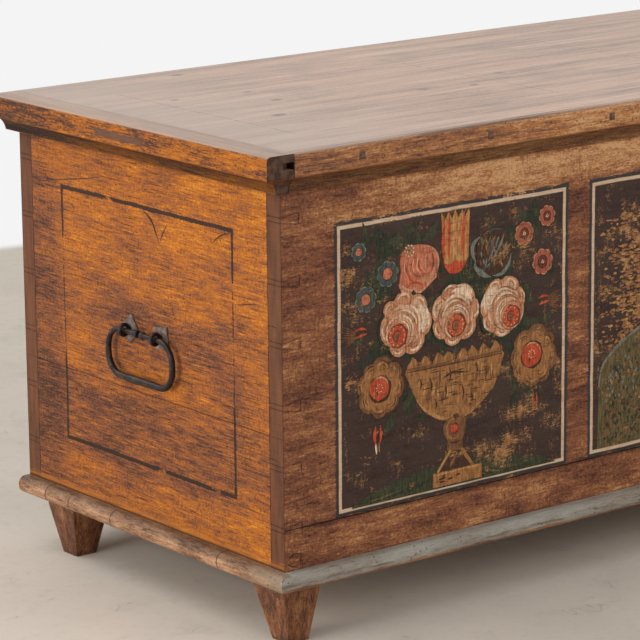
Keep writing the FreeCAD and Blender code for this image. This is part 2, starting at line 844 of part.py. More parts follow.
def bail_end(spot):
    """A round arm that runs in the eye, with a bevelled knob on its end towards the other arm."""
    across = FreeCAD.Vector(0, -1, 0)
    knob_radius = S["bail_knob_radius"].value
    width = S["bail_knob_width"].value
    bevel = S["bail_knob_bevel"].value
    knob_start = S["bail_end_gap"].value / 2 + width
    arm = Part.makeCylinder(S["bail_end_radius"].value, spot.y - knob_start + bevel, spot, across)
    knob = Part.makeCylinder(knob_radius, width, FreeCAD.Vector(0, knob_start, 0), across)
    return arm.fuse(knob.makeChamfer(bevel, [knob.Edges[0], knob.Edges[2]]))


def bail_shape():
    """A forged bail: thick at its foot and thinner towards the arms that run in the eyes."""
    path = bail_path()
    foot_middle = path.Edges[0].Vertexes[0].Point
    arm_start = FreeCAD.Vector(0, S["bail_width"].value / 2 - S["bail_shoulder_radius"].value, 0)
    sweep = Part.BRepOffsetAPI.MakePipeShell(path)
    sweep.setFrenetMode(True)
    sweep.add(bar_section(foot_middle, S["bail_middle_radius"].value, 1))
    sweep.add(bar_section(arm_start, S["bail_end_radius"].value, -1))
    sweep.build()
    sweep.makeSolid()
    half = sweep.shape().fuse(bail_end(arm_start))
    return half.fuse(half.mirror(FreeCAD.Vector(), FreeCAD.Vector(0, 1, 0)))


def bail(name):
    piece = fixed_shape(name, bail_shape())
    return place(piece, bail_x, ZERO, bail_z)


# Lock: a flanged case inside the front, a sliding bolt, and a hasp with a staple under the lid


def block(name, middle, length, width, height):
    """A box about its middle."""
    x, y, z = middle
    return box(name, (as_size(x) - length / 2, y - width / 2, z - height / 2), length, width, height)


def lock_case():
    """A sheet-iron tray with side flanges, open to the board, slotted on top for the staple."""
    width, height, sheet = S["lock_width"], S["lock_height"], S["lock_sheet"]
    inner_face = front + S["wall"]
    low = lock_top - height
    tray = box("lock_tray", (-width / 2, inner_face, low), width, S["lock_depth"], height)
    flange_width = width + S["lock_flange"] * 2
    flange = box("lock_flange_sheet", (-flange_width / 2, inner_face, low), flange_width, sheet, height)
    room = box("lock_room", (-width / 2 + sheet, inner_face, low + sheet),
               width - sheet * 2, S["lock_depth"] - sheet, height - sheet * 2)
    clear = S["staple_clearance"] * 2
    slot = block("staple_slot", (S["hasp_offset"], bolt_y, lock_top), S["staple_thickness"] + clear,
                 staple_width + clear, sheet * 4)
    return cut("lock_case_blank", fuse("lock_case_solid", [tray, flange]), [room, slot])


def lock_guides():
    """Two bridges on the case's back that the bolt slides through."""
    reach = (lock_back - S["lock_sheet"] - bolt_y) + S["bolt_depth"] / 2 + S["bolt_play"] + S["guide_wall"]
    height = S["bolt_height"] + (S["bolt_play"] + S["guide_wall"]) * 2
    bridges = []
    for side, share in (("left", -1), ("right", 0)):
        corner = (S["guide_spacing"] * share, lock_back - S["lock_sheet"] - reach, bolt_z - height / 2)
        bridges.append(box(f"lock_{side}_bridge", corner, S["guide_width"], reach, height))
    play = S["bolt_play"] * 2
    channel = block("lock_channel", (ZERO, bolt_y, bolt_z), S["lock_width"], S["bolt_depth"] + play,
                    S["bolt_height"] + play)
    return cut("lock_guides", fuse("lock_bridges", bridges), [channel])


def lock_bolt():
    """The bolt, drawn back at rest, with a notch for the key."""
    length = S["bolt_length"]
    corner = (bolt_end - length, bolt_y - S["bolt_depth"] / 2, bolt_z - S["bolt_height"] / 2)
    bar = box("lock_bolt_bar", corner, length, S["bolt_depth"], S["bolt_height"])
    talon = block("lock_talon", (-S["guide_width"] / 2, bolt_y, bolt_z - S["bolt_height"] / 2),
                  S["talon_width"], S["bolt_depth"], S["talon_depth"] * 2)
    return cut("lock_bolt", bar, [talon])


def keyhole():
    """A round hole with a slot below it, through the front board."""
    z = bolt_z - S["keyhole_drop"]
    round_hole = doc.addObject("Part::Cylinder", "keyhole_round")
    bind(round_hole, "Radius", S["keyhole_radius"])
    bind(round_hole, "Height", S["wall"])
    round_hole.Placement = FreeCAD.Placement(FreeCAD.Vector(), FreeCAD.Rotation(FreeCAD.Vector(1, 0, 0), -90))
    place(round_hole, ZERO, front, z)
    slot = box("keyhole_slot_cut", (-S["keyhole_slot"] / 2, front, z - S["keyhole_reach"]),
               S["keyhole_slot"], S["wall"], S["keyhole_reach"])
    return fuse("keyhole", [round_hole, slot])


def lock_hasp():
    """A plate nailed under the lid, which the staple is riveted through."""
    x = S["hasp_offset"] - S["hasp_width"] / 2
    corner = (x, front + S["wall"] + S["lip_gap"], case_top - S["hasp_sheet"])
    return box("lock_hasp_blank", corner, S["hasp_width"], S["hasp_depth"], S["hasp_sheet"])


def hasp_staple():
    """A U-shaped staple that drops into the lock; the bolt passes through it."""
    low = bolt_z - S["bolt_height"] / 2 - S["bolt_gap"] - S["staple_bar"]
    x = S["hasp_offset"] - S["staple_thickness"] / 2
    y = bolt_y - staple_width / 2
    height = case_top - low
    bar = box("staple_bar", (x, y, low), S["staple_thickness"], staple_width, height)
    inner_corner = (x, y + S["staple_bar"], low + S["staple_bar"])
    inner_width = staple_width - S["staple_bar"] * 2
    inside = box("staple_room", inner_corner, S["staple_thickness"], inner_width, height)
    return cut("hasp_staple", bar, [inside])


def lock_nail_places():
    x = (S["lock_width"] + S["lock_flange"]) / 2
    y = front + S["wall"] + S["lock_sheet"]
    margin = S["lock_flange"]
    heights = (lock_top - margin, lock_top - S["lock_height"] + margin)
    return [(x * side, y, z) for side in (-1, 1) for z in heights]


def hasp_nail_places():
    margin = S["hasp_nail_margin"]
    y = front + S["wall"] + S["lip_gap"]
    z = case_top - S["hasp_sheet"]
    reach = S["hasp_width"] / 2 - margin
    return [(S["hasp_offset"] + reach * side, y + run, z)
            for side in (-1, 1) for run in (margin, S["hasp_depth"] - margin)]


# Assembly


def case_pieces():
    boards = long_boards()
    tails = list(boards.values())
    seam = S["case_height"] * END_SEAM_SHARE
    for side, x in (("left", left), ("right", -left - S["wall"])):
        boards[f"{side}_end_board_lower"] = end_board(f"{side}_end_lower", x, ZERO, seam, tails)
        boards[f"{side}_end_board_upper"] = end_board(f"{side}_end_upper", x, seam, S["case_height"], tails)
    return boards


def build():
    pieces = {}
    boards = case_pieces()
    nails = nail_group("bottom_nails", S["bottom_nail_length"], bottom_nail_places())
    legs = feet()
    inner = till()
    hinge_x = {"left": left + S["hinge_inset"], "right": -left - S["hinge_inset"]}

    # Hinges
    face = S["knuckle_radius"] + S["hinge_clearance"]
    lid_nail_spots = []
    case_nail_spots = []
    for side, x in hinge_x.items():
        for run in strap_nail_runs(S["wall"], S["lid_strap_length"], 3):
            lid_nail_spots.append((x, hinge_y - face - run, case_top - S["strap_thickness"]))
        for run in strap_nail_runs(ZERO, S["case_strap_length"], 3):
            case_nail_spots.append((x, back + S["strap_thickness"], hinge_z - face - run))
    lid_nails = nail_group("lid_strap_nails", S["strap_nail_length"], lid_nail_spots)
    case_nails = nail_group("case_strap_nails", S["strap_nail_length"], case_nail_spots,
                            FreeCAD.Vector(0, -1, 0))
    notches = []
    for side, x in hinge_x.items():
        pieces[f"{side}_lid_strap"] = cut(f"{side}_lid_strap", lid_leaf(f"{side}_lid_leaf", x), [lid_nails])
        case_strap = case_leaf(f"{side}_case_leaf", x)
        pieces[f"{side}_case_strap"] = cut(f"{side}_case_strap", case_strap, [case_nails])
        pieces[f"{side}_hinge_pin"] = hinge_pin(f"{side}_hinge_pin", x)
        notches.append(strap_notch(f"{side}_notch", x))

    # Handles
    end_tools = {"left": [], "right": []}
    turns = {"front": S["plate_front_turn"], "back": S["plate_back_turn"]}
    eyes = {}
    plates = {}
    for place_name, y in eye_places().items():
        eyes[place_name] = handle_eye(f"left_{place_name}_eye", y)
        plates[place_name] = handle_plate(f"left_{place_name}_plate", y, turns[place_name], eyes[place_name])
    for kind, group in (("eye", eyes), ("plate", plates)):
        for place_name, piece in group.items():
            pieces[f"left_{place_name}_{kind}"] = piece
            pieces[f"right_{place_name}_{kind}"] = mirrored(f"right_{place_name}_{kind}", piece)
            if kind == "eye":
                end_tools["left"].append(pieces[f"left_{place_name}_{kind}"])
                end_tools["right"].append(pieces[f"right_{place_name}_{kind}"])
    pieces["left_bail"] = bail("left_bail")
    pieces["right_bail"] = mirrored("right_bail", pieces["left_bail"])

    # Lock
    lock_nails = nail_group("lock_nails", S["lock_nail_length"], lock_nail_places(), FreeCAD.Vector(0, -1, 0))
    hasp_nails = nail_group("hasp_nails", S["lock_nail_length"], hasp_nail_places())
    pieces["lock_case"] = cut("lock_case", lock_case(), [lock_nails])
    pieces["lock_guides"] = lock_guides()
    pieces["lock_bolt"] = lock_bolt()
    pieces["hasp_staple"] = hasp_staple()
    pieces["lock_hasp"] = cut("lock_hasp", lock_hasp(), [hasp_nails, pieces["hasp_staple"]])

    # Case boards with their housings and holes
    till_pieces = list(inner.values())
    tools = {
        "front_board_lower": [nails],
        "front_board_upper": till_pieces + [keyhole(), lock_nails],
        "back_board_lower": [nails] + till_pieces,
        "back_board_upper": till_pieces + notches + [case_nails],
        "left_end_board_lower": [nails],
        "left_end_board_upper": till_pieces + end_tools["left"],
        "right_end_board_lower": [nails],
        "right_end_board_upper": end_tools["right"],
    }
    for name, board in boards.items():
        pieces[name] = cut(name, board, tools[name])
    pieces.update(bottom_boards(rounded_slab(), [nails] + list(legs.values())))
    pieces.update(legs)
    pieces.update(inner)

    # Lid
    moulding_spots = [(left + S["case_length"] * share, front - S["lid_front_overhang"],
                       case_top + S["lid_thickness"] / 2) for share in MOULDING_NAIL_SHARES]
    moulding_nails = nail_group("moulding_nails", S["moulding_nail_length"], moulding_spots,
                                FreeCAD.Vector(0, 1, 0))
    pieces["front_moulding"] = cut("front_moulding", front_moulding(), [moulding_nails])
    pieces["left_end_cleat"] = end_cleat()
    pieces["right_end_cleat"] = mirrored("right_end_cleat", pieces["left_end_cleat"])
    board_names = ("front", "middle", "back")
    seams = zip(LID_SEAM_SHARES[:-1], LID_SEAM_SHARES[1:])
    for number, (name, (low, high)) in enumerate(zip(board_names, seams), start=1):
        blank = lid_board(number, low, high)
        pieces[f"lid_board_{name}"] = cut(f"lid_board_{name}", blank, [moulding_nails, lid_nails, hasp_nails])
    pieces["lock_nails"] = lock_nails
    pieces["hasp_nails"] = hasp_nails
    pieces["bottom_nails"] = nails
    pieces["moulding_nails"] = moulding_nails
    pieces["lid_strap_nails"] = lid_nails
    pieces["case_strap_nails"] = case_nails
    return pieces


def check(pieces):
    for item in doc.Objects:
        if any(word in state for state in item.State for word in ("Invalid", "Error")):
            raise RuntimeError(f"{item.Name} failed: {item.State}")
    for name, piece in pieces.items():
        if piece.Shape.isNull() or not piece.Shape.isValid():
            raise RuntimeError(f"{name} has no sound shape")


def export(pieces):
    os.makedirs("parts", exist_ok=True)
    for name, piece in pieces.items():
        piece.Label = name
        piece.Shape.exportStep(f"parts/{name}.step")
        print(name, len(piece.Shape.Solids), round(piece.Shape.Volume / 1000, 1), "cm3")


all_pieces = build()
doc.recompute()
check(all_pieces)
export(all_pieces)
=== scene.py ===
import json
import math
import random

import bpy
from mathutils import Matrix, Vector


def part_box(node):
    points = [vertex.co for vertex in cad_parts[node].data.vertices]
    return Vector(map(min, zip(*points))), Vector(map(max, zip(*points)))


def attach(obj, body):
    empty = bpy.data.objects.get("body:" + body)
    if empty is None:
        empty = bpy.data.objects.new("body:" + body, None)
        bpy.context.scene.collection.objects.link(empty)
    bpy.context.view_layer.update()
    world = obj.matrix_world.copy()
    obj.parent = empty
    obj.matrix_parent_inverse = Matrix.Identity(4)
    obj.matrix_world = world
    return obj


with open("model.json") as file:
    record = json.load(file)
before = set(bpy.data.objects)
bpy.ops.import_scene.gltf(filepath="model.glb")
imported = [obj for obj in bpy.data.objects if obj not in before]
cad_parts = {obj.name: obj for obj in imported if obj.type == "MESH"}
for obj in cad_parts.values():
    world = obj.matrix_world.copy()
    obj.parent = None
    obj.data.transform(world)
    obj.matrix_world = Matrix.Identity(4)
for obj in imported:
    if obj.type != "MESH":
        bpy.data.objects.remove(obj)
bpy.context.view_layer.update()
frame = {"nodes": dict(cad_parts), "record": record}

# Painted trunk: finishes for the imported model, the painted panels, and the photograph's view.
# Places on the trunk are in millimetres. On the front and the ends they are counted from the
# case's lower front left corner, as a painter would measure them.

dice = random.Random(11)
METRE = 1000.0

case_low = [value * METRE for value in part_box("front_board_lower")[0]]
case_high = [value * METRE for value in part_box("front_board_upper")[1]]
LEFT, FRONT, CASE_BOTTOM = case_low
CASE_TOP = case_high[2]
BACK = -FRONT
WALL = case_high[1] - FRONT
BASE_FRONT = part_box("bottom_board_1")[0][1] * METRE
BASE_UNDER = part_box("bottom_board_1")[0][2] * METRE

# Painted panels on the front: the cream lines' places, counted from the case's corner
PANEL_BOTTOM, PANEL_TOP = 58.0, 398.5
SIDE_PANEL_LEFT, SIDE_PANEL_RIGHT = 83.5, 434.2
MIDDLE_PANEL_LEFT = 482.5
PANEL_LINE = 4.4
PANEL_BAND = 7.5
STILE_MIDDLE = 458.0

# Heights of the seam between the front's two boards, and of the ends' seam, over the case's bottom
FRONT_SEAM = 50.0
END_SEAM = 160.0

# Black outline on each end, counted from the front and the case's bottom
END_OUTLINE = (93.5, 447.5, 70.0, 392.0)

# Thin outlines on the lid, counted from the case's left edge and front
LID_OUTLINE = (88.0, 511.0, 80.0, 452.0)

# A spot on the cleats' sides where the paint is worn to the wood, from the front and the case's top
WORN_PATCH = (228.0, 328.0, 7.0, 16.0)

# Seams between the bottom boards, and a growth ring that looks like one
BASE_SEAMS = tuple(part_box(f"bottom_board_{number}")[1][1] * METRE for number in (1, 2, 3)) + (157.0,)

# The joint between the cleats and the lid's boards, counted from the trunk's middle
JOINT_ACROSS = -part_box("left_end_cleat")[1][0] * METRE

# Knots in the lid, counted from the case's left edge and front, with their size
LID_KNOTS = (
    (232, 522, 9), (118, 367, 6), (221, 356, 6), (213, 285, 8), (150, 197, 10), (400, 225, 9),
    (470, 210, 7), (555, 260, 8), (905, 330, 8), (1010, 140, 7), (1090, 460, 9), (1175, 250, 7),
)

# Colours, as light reflected in red, green and blue. Each table runs from dirt to worn-through paint.
STRIP_TONES = (
    (0.22, (0.070, 0.030, 0.018)), (0.36, (0.125, 0.050, 0.026)), (0.56, (0.185, 0.074, 0.033)),
)
FRONT_TONES = (
    (0.14, (0.055, 0.025, 0.019)), (0.34, (0.155, 0.058, 0.033)), (0.50, (0.245, 0.093, 0.046)),
    (0.64, (0.345, 0.142, 0.061)), (0.78, (0.490, 0.235, 0.098)), (0.94, (0.650, 0.360, 0.175)),
)
END_TONES = (
    (0.12, (0.060, 0.027, 0.018)), (0.30, (0.145, 0.054, 0.028)), (0.44, (0.225, 0.077, 0.030)),
    (0.56, (0.330, 0.104, 0.023)), (0.74, (0.460, 0.142, 0.014)), (0.92, (0.640, 0.250, 0.036)),
)
CLEAT_TONES = (
    (0.24, (0.050, 0.024, 0.017)), (0.40, (0.150, 0.054, 0.022)), (0.52, (0.300, 0.096, 0.018)),
    (0.70, (0.440, 0.138, 0.012)), (0.90, (0.600, 0.240, 0.042)),
)
MOULDING_TONES = (
    (0.14, (0.075, 0.038, 0.034)), (0.34, (0.160, 0.072, 0.048)), (0.52, (0.295, 0.124, 0.058)),
    (0.70, (0.470, 0.200, 0.074)), (0.90, (0.640, 0.370, 0.185)),
)
LID_TONES = (
    (0.16, (0.150, 0.070, 0.038)), (0.34, (0.300, 0.155, 0.088)), (0.50, (0.410, 0.228, 0.138)),
    (0.68, (0.490, 0.285, 0.180)), (0.90, (0.590, 0.380, 0.255)),
)
BASE_TONES = (
    (0.12, (0.110, 0.064, 0.040)), (0.28, (0.210, 0.150, 0.105)), (0.42, (0.270, 0.230, 0.185)),
    (0.66, (0.320, 0.300, 0.255)), (0.90, (0.420, 0.390, 0.330)),
)
BASE_END_TONES = (
    (0.18, (0.065, 0.032, 0.020)), (0.38, (0.190, 0.092, 0.045)), (0.55, (0.345, 0.180, 0.092)),
    (0.72, (0.460, 0.250, 0.130)), (0.90, (0.560, 0.370, 0.240)),
)
FOOT_TONES = (
    (0.16, (0.045, 0.020, 0.013)), (0.36, (0.130, 0.048, 0.022)), (0.54, (0.215, 0.080, 0.031)),
    (0.74, (0.320, 0.150, 0.070)), (0.92, (0.480, 0.290, 0.170)),
)
GROUND_TONES = (
    (0.20, (0.031, 0.019, 0.015)), (0.45, (0.060, 0.035, 0.028)), (0.62, (0.068, 0.046, 0.035)),
    (0.85, (0.130, 0.072, 0.040)),
)
CREAM_TONES = (
    (0.25, (0.300, 0.160, 0.085)), (0.45, (0.560, 0.370, 0.235)), (0.65, (0.700, 0.510, 0.355)),
)
# The next colour is a painted sheen, toward the lid's left end.
LID_SHEEN_GREY = (0.390, 0.295, 0.235)
END_GRAIN_DARK = (0.060, 0.032, 0.022)
END_GRAIN_BROWN = (0.125, 0.068, 0.044)
LID_WARM = (0.560, 0.300, 0.150)
BAND_BLACK = (0.050, 0.042, 0.040)
FLAKE_OCHRE = (0.300, 0.135, 0.045)
FLAKE_PALE = (0.480, 0.255, 0.115)
OUTLINE_BLACK = (0.028, 0.018, 0.014)
WORN_BROWN = (0.105, 0.058, 0.040)
RUBBED_ORANGE = (0.480, 0.170, 0.035)
BARE_PINE = (0.420, 0.255, 0.135)
OLD_PINE = (0.270, 0.160, 0.085)
GREY_PINE = (0.215, 0.160, 0.115)
DULL_PINE = (0.270, 0.190, 0.125)
CORNER_GREY = (0.250, 0.190, 0.125)
RUBBED_FOOT = (0.380, 0.190, 0.090)
KNOT_BROWN = (0.120, 0.045, 0.022)
STREAK_BROWN = (0.130, 0.075, 0.045)
IRON_DARK = (0.014, 0.010, 0.009)
IRON_RUBBED = (0.110, 0.084, 0.068)
IRON_RUST = (0.048, 0.024, 0.015)
PLATE_BROWN = (0.100, 0.062, 0.044)
PLATE_GREY = (0.190, 0.155, 0.130)
NAIL_BROWN = (0.150, 0.072, 0.042)
NAIL_DARK = (0.068, 0.037, 0.025)

PIGMENTS = {
    "cream": (0.780, 0.560, 0.380),
    "blush": (0.650, 0.370, 0.225),
    "salmon": (0.570, 0.250, 0.128),
    "pink": (0.620, 0.290, 0.165),
    "coral": (0.520, 0.080, 0.034),
    "rose_red": (0.540, 0.168, 0.090),
    "madder": (0.370, 0.108, 0.060),
    "tan": (0.330, 0.140, 0.068),
    "dark_red": (0.170, 0.042, 0.024),
    "yellow": (0.480, 0.240, 0.085),
    "orange": (0.530, 0.170, 0.048),
    "ochre": (0.350, 0.155, 0.056),
    "brown_ochre": (0.205, 0.090, 0.040),
    "umber": (0.070, 0.034, 0.020),
    "green": (0.055, 0.058, 0.031),
    "dark_green": (0.036, 0.040, 0.024),
    "olive": (0.135, 0.098, 0.042),
    "teal": (0.070, 0.084, 0.074),
    "grey_blue": (0.185, 0.195, 0.160),
    "black_line": (0.026, 0.016, 0.012),
}


# Node helpers


class Value:
    """A node's output that takes plain arithmetic, with a math node for each step."""

    def __init__(self, nodes, socket):
        self.nodes = nodes
        self.socket = socket

    def __add__(self, other):
        return self.nodes.math("ADD", self, other)

    def __sub__(self, other):
        return self.nodes.math("SUBTRACT", self, other)

    def __rsub__(self, other):
        return self.nodes.math("SUBTRACT", other, self)

    def __mul__(self, other):
        return self.nodes.math("MULTIPLY", self, other)

    def __truediv__(self, other):
        return self.nodes.math("DIVIDE", self, other)

    def __abs__(self):
        return self.nodes.math("ABSOLUTE", self)

    __radd__ = __add__
    __rmul__ = __mul__


class Nodes:
    """Short ways to add nodes to one tree."""

    def __init__(self, tree):
        self.tree = tree

    def feed(self, node, inputs):
        """Link a node's inputs to values, or set their numbers and colours."""
        for key, value in inputs.items():
            socket = node.inputs[key]
            if isinstance(value, Value):
                self.tree.links.new(value.socket, socket)
            elif isinstance(value, tuple) and socket.type == "RGBA":
                socket.default_value = (*value, 1)
            else:
                socket.default_value = value

    def add(self, kind, inputs=None, **settings):
        made = self.tree.nodes.new(kind)
        for name, value in settings.items():
            setattr(made, name, value)
        self.feed(made, inputs or {})
        return made

    def read(self, node, *keys):
        return [Value(self, node.outputs[key]) for key in keys]

    def make(self, kind, inputs=None, output=0, **settings):
        """Add a node and read one output."""
        return self.read(self.add(kind, inputs, **settings), output)[0]

    def math(self, operation, *values):
        return self.make("ShaderNodeMath", dict(enumerate(values)), operation=operation)

    def largest(self, *values):
        result = values[0]
        for value in values[1:]:
            result = self.math("MAXIMUM", result, value)
        return result

    def split(self, vector):
        return self.read(self.add("ShaderNodeSeparateXYZ", {0: vector}), 0, 1, 2)

    def fade(self, value, start, stop):
        """A smooth step from 0 at start to 1 at stop."""
        return self.make("ShaderNodeMapRange", {"Value": value, "From Min": start, "From Max": stop},
                         interpolation_type="SMOOTHSTEP")

    def mix(self, share, first, second):
        """The first colour where share is 0, the second where it is 1."""
        return self.make("ShaderNodeMix", {0: share, 6: first, 7: second}, 2, data_type="RGBA")

    def darker(self, colour, share, strength):
        """The colour scaled down where share is high."""
        return self.make("ShaderNodeMix", {0: share, 6: colour, 7: (strength, strength, strength)}, 2,
                         data_type="RGBA", blend_type="MULTIPLY")

    def ramp(self, value, stops):
        """A colour from a table of places between 0 and 1."""
        made = self.add("ShaderNodeValToRGB", {0: value})
        elements = made.color_ramp.elements
        for element, (place, colour) in zip(elements, (stops[0], stops[-1])):
            element.position = place
            element.color = (*colour, 1)
        for place, colour in stops[1:-1]:
            elements.new(place).color = (*colour, 1)
        return self.read(made, 0)[0]


class Surface(Nodes):
    """Nodes that know their place on the trunk, in millimetres."""

    def find_place(self):
        metres, normal = self.read(self.add("ShaderNodeTexCoord"), "Object", "Normal")
        place = self.make("ShaderNodeVectorMath", {0: metres, "Scale": METRE}, operation="SCALE")
        self.x, self.y, self.z = self.split(place)
        self.normal = self.split(normal)

    def by_piece(self):
        """A number of the piece's own, so that neighbouring boards have their own grain."""
        return self.make("ShaderNodeObjectInfo", output="Random") * METRE

    def grain(self, axis, length, width, shift=0.0):
        """A place stretched along the grain, for streaks of that length and width."""
        parts = {name: value / (length if name == axis else width)
                 for name, value in zip("xyz", (self.x, self.y, self.z))}
        parts["y" if axis == "z" else "z"] += shift
        return self.make("ShaderNodeCombineXYZ", dict(enumerate(parts.values())))

    def streaks(self, axis, length, width, shift=0.0, detail=3.0, roughness=0.55):
        """Noise that runs along the grain."""
        place = self.grain(axis, length, width, shift)
        return self.make("ShaderNodeTexNoise",
                         {"Vector": place, "Scale": 1.0, "Detail": detail, "Roughness": roughness})

    def cloud(self, size, **settings):
        return self.streaks("x", size, size, **settings)

    def old_paint(self, axis, lean, shift, broad, middle, hair, shares=(1.0, 1.15, 0.95, 0.40)):
        """How worn the paint is from 0 to 1: clouds, brushed patches, hair-thin scratches and flecks."""
        clouds = self.streaks(axis, *broad, shift)
        patches = self.streaks(axis, *middle, shift + 3.0, detail=6.0, roughness=0.72)
        scratches = self.streaks(axis, *hair, shift + 9.0, roughness=0.7)
        flecks = self.streaks(axis, 3.6, 2.2, shift + 15.0, detail=2.0)
        layers = (clouds, patches, scratches, flecks)
        tone = sum(layer * share for layer, share in zip(layers, shares)) + lean
        return tone + (0.5 - sum(shares) / 2), patches, scratches

    def facing(self, axis, sign):
        """1 where the surface faces along the axis."""
        return self.fade(self.normal["xyz".index(axis)] * sign, 0.55, 0.8)

    def rectangle(self, across, up, box, wobble):
        """The distance outside a rectangle's line, negative inside it."""
        left, right, low, high = box
        sides = abs(across - (left + right) / 2) - (right - left) / 2
        ends = abs(up - (low + high) / 2) - (high - low) / 2
        return self.largest(sides, ends) + wobble

    def line(self, distance, half_width, soft=0.6):
        """1 within half a line's width of distance 0."""
        return self.fade(abs(distance), half_width + soft, half_width - soft)

    def band(self, value, middle, half_width, soft):
        return self.line(value - middle, half_width, soft)


class Finish(Surface):
    """A material with its shader."""

    def __init__(self, name):
        self.material = bpy.data.materials.new(name)
        self.material.use_nodes = True
        super().__init__(self.material.node_tree)
        self.shader = self.tree.nodes["Principled BSDF"]
        self.find_place()

    def rounded_edge(self, radius):
        """The normal with the edges eased, and how near an edge is."""
        eased = self.make("ShaderNodeBevel", {"Radius": radius / METRE}, samples=4)
        flat = self.make("ShaderNodeNewGeometry", output="Normal")
        likeness = self.make("ShaderNodeVectorMath", {0: eased, 1: flat}, "Value", operation="DOT_PRODUCT")
        return eased, self.fade(likeness, 0.995, 0.86)

    def done(self, colour, roughness, height, normal=None, depth=0.35, gloss=0.22, **more):
        """Wire the shader. Height is the bump from 0 to 1, and depth its size in millimetres."""
        bump = {"Height": height, "Distance": depth / METRE}
        if normal is not None:
            bump["Normal"] = normal
        self.feed(self.shader, {"Base Color": colour, "Roughness": roughness, "Specular IOR Level": gloss,
                                "Normal": self.make("ShaderNodeBump", bump), **more})
        return self.material


def flaking_group():
    """Where the panels' paint has flaked along the grain, and the colour under it."""
    tree = bpy.data.node_groups.new("flaking", "ShaderNodeTree")
    for name, kind in (("Flaked", "Float"), ("Bare", "Color"), ("Brush", "Float")):
        tree.interface.new_socket(name, in_out="OUTPUT", socket_type=f"NodeSocket{kind}")
    s = Surface(tree)
    s.find_place()
    dashes = s.streaks("x", 15.0, 1.5, roughness=0.7)
    chips = s.streaks("x", 7.0, 2.2, 21.0, detail=4.0, roughness=0.75)
    patches = s.streaks("x", 34.0, 22.0, 7.0, roughness=0.6)
    upright = s.streaks("z", 36.0, 6.0, 3.0, detail=2.0)
    wear = (patches - 0.5) * 0.7 + (upright - 0.5) * 0.3
    for across, up, wide, high, strength in WORN_SPOTS:
        aside = (s.x - (LEFT + across)) / (wide * 1.7)
        above = (s.z - (CASE_BOTTOM + up)) / (high * 1.7)
        reach = aside * aside + above * above
        wear = wear + s.fade(reach, 1.0, 0.0) * (strength * 0.8)
    amount = dashes * 0.45 + chips * 0.55 + wear
    loops = s.streaks("z", 7.0, 4.5, 11.0, roughness=0.6)
    veins = s.fade(abs(loops - 0.5), 0.026, 0.008)
    veins = veins * s.fade(wear + chips * 0.4, 0.235, 0.31)
    flaked = s.largest(s.fade(amount, 0.668, 0.692), veins * 0.85)
    bare = s.mix(s.fade(s.cloud(9.0), 0.4, 0.62), FLAKE_OCHRE, FLAKE_PALE)
    brush = s.streaks("z", 11.0, 2.4, detail=4.0, roughness=0.65)
    s.add("NodeGroupOutput", {"Flaked": flaked, "Bare": bare, "Brush": brush})
    return tree


# Where the panels are worn most: across, up, width, height and how badly
WORN_SPOTS = (
    (112, 338, 26, 12, 0.13), (96, 300, 14, 55, 0.07), (100, 205, 12, 20, 0.10), (365, 330, 20, 22, 0.12),
    (345, 105, 10, 50, 0.10), (372, 140, 16, 22, 0.13), (325, 92, 26, 14, 0.12), (375, 88, 18, 18, 0.13),
    (418, 118, 18, 12, 0.13), (424, 168, 8, 22, 0.13), (405, 255, 24, 22, 0.07), (170, 94, 24, 8, 0.08),
    (108, 90, 12, 12, 0.08), (515, 300, 34, 70, 0.06), (545, 350, 18, 40, 0.07), (500, 235, 24, 50, 0.05),
    (620, 150, 60, 60, 0.04), (760, 250, 26, 90, 0.07), (880, 300, 22, 70, 0.08), (940, 110, 40, 26, 0.10),
    (1130, 330, 30, 40, 0.09), (1170, 160, 20, 60, 0.10),
)


# Finishes


def wood_height(s):
    """Fine raised grain."""
    return s.streaks("x", 70.0, 1.3, roughness=0.6)


def inner_colours(s, shift=0.0):
    """Bare pine, darkened with age."""
    rings = s.streaks("x", 420.0, 11.0, shift)
    fine = s.streaks("x", 120.0, 1.4, shift)
    colour = s.mix(s.fade(rings, 0.26, 0.74), OLD_PINE, BARE_PINE)
    return s.darker(colour, s.fade(fine, 0.55, 0.35), 0.80)


def dotted_dirt(s, size, cover):
    """Scattered dark specks."""
    specks = s.make("ShaderNodeTexVoronoi", {"Vector": s.grain("x", size, size), "Scale": 1.0}, "Distance")
    return s.fade(specks, cover, cover * 0.45) * s.fade(s.cloud(size * 7.0), 0.46, 0.6)


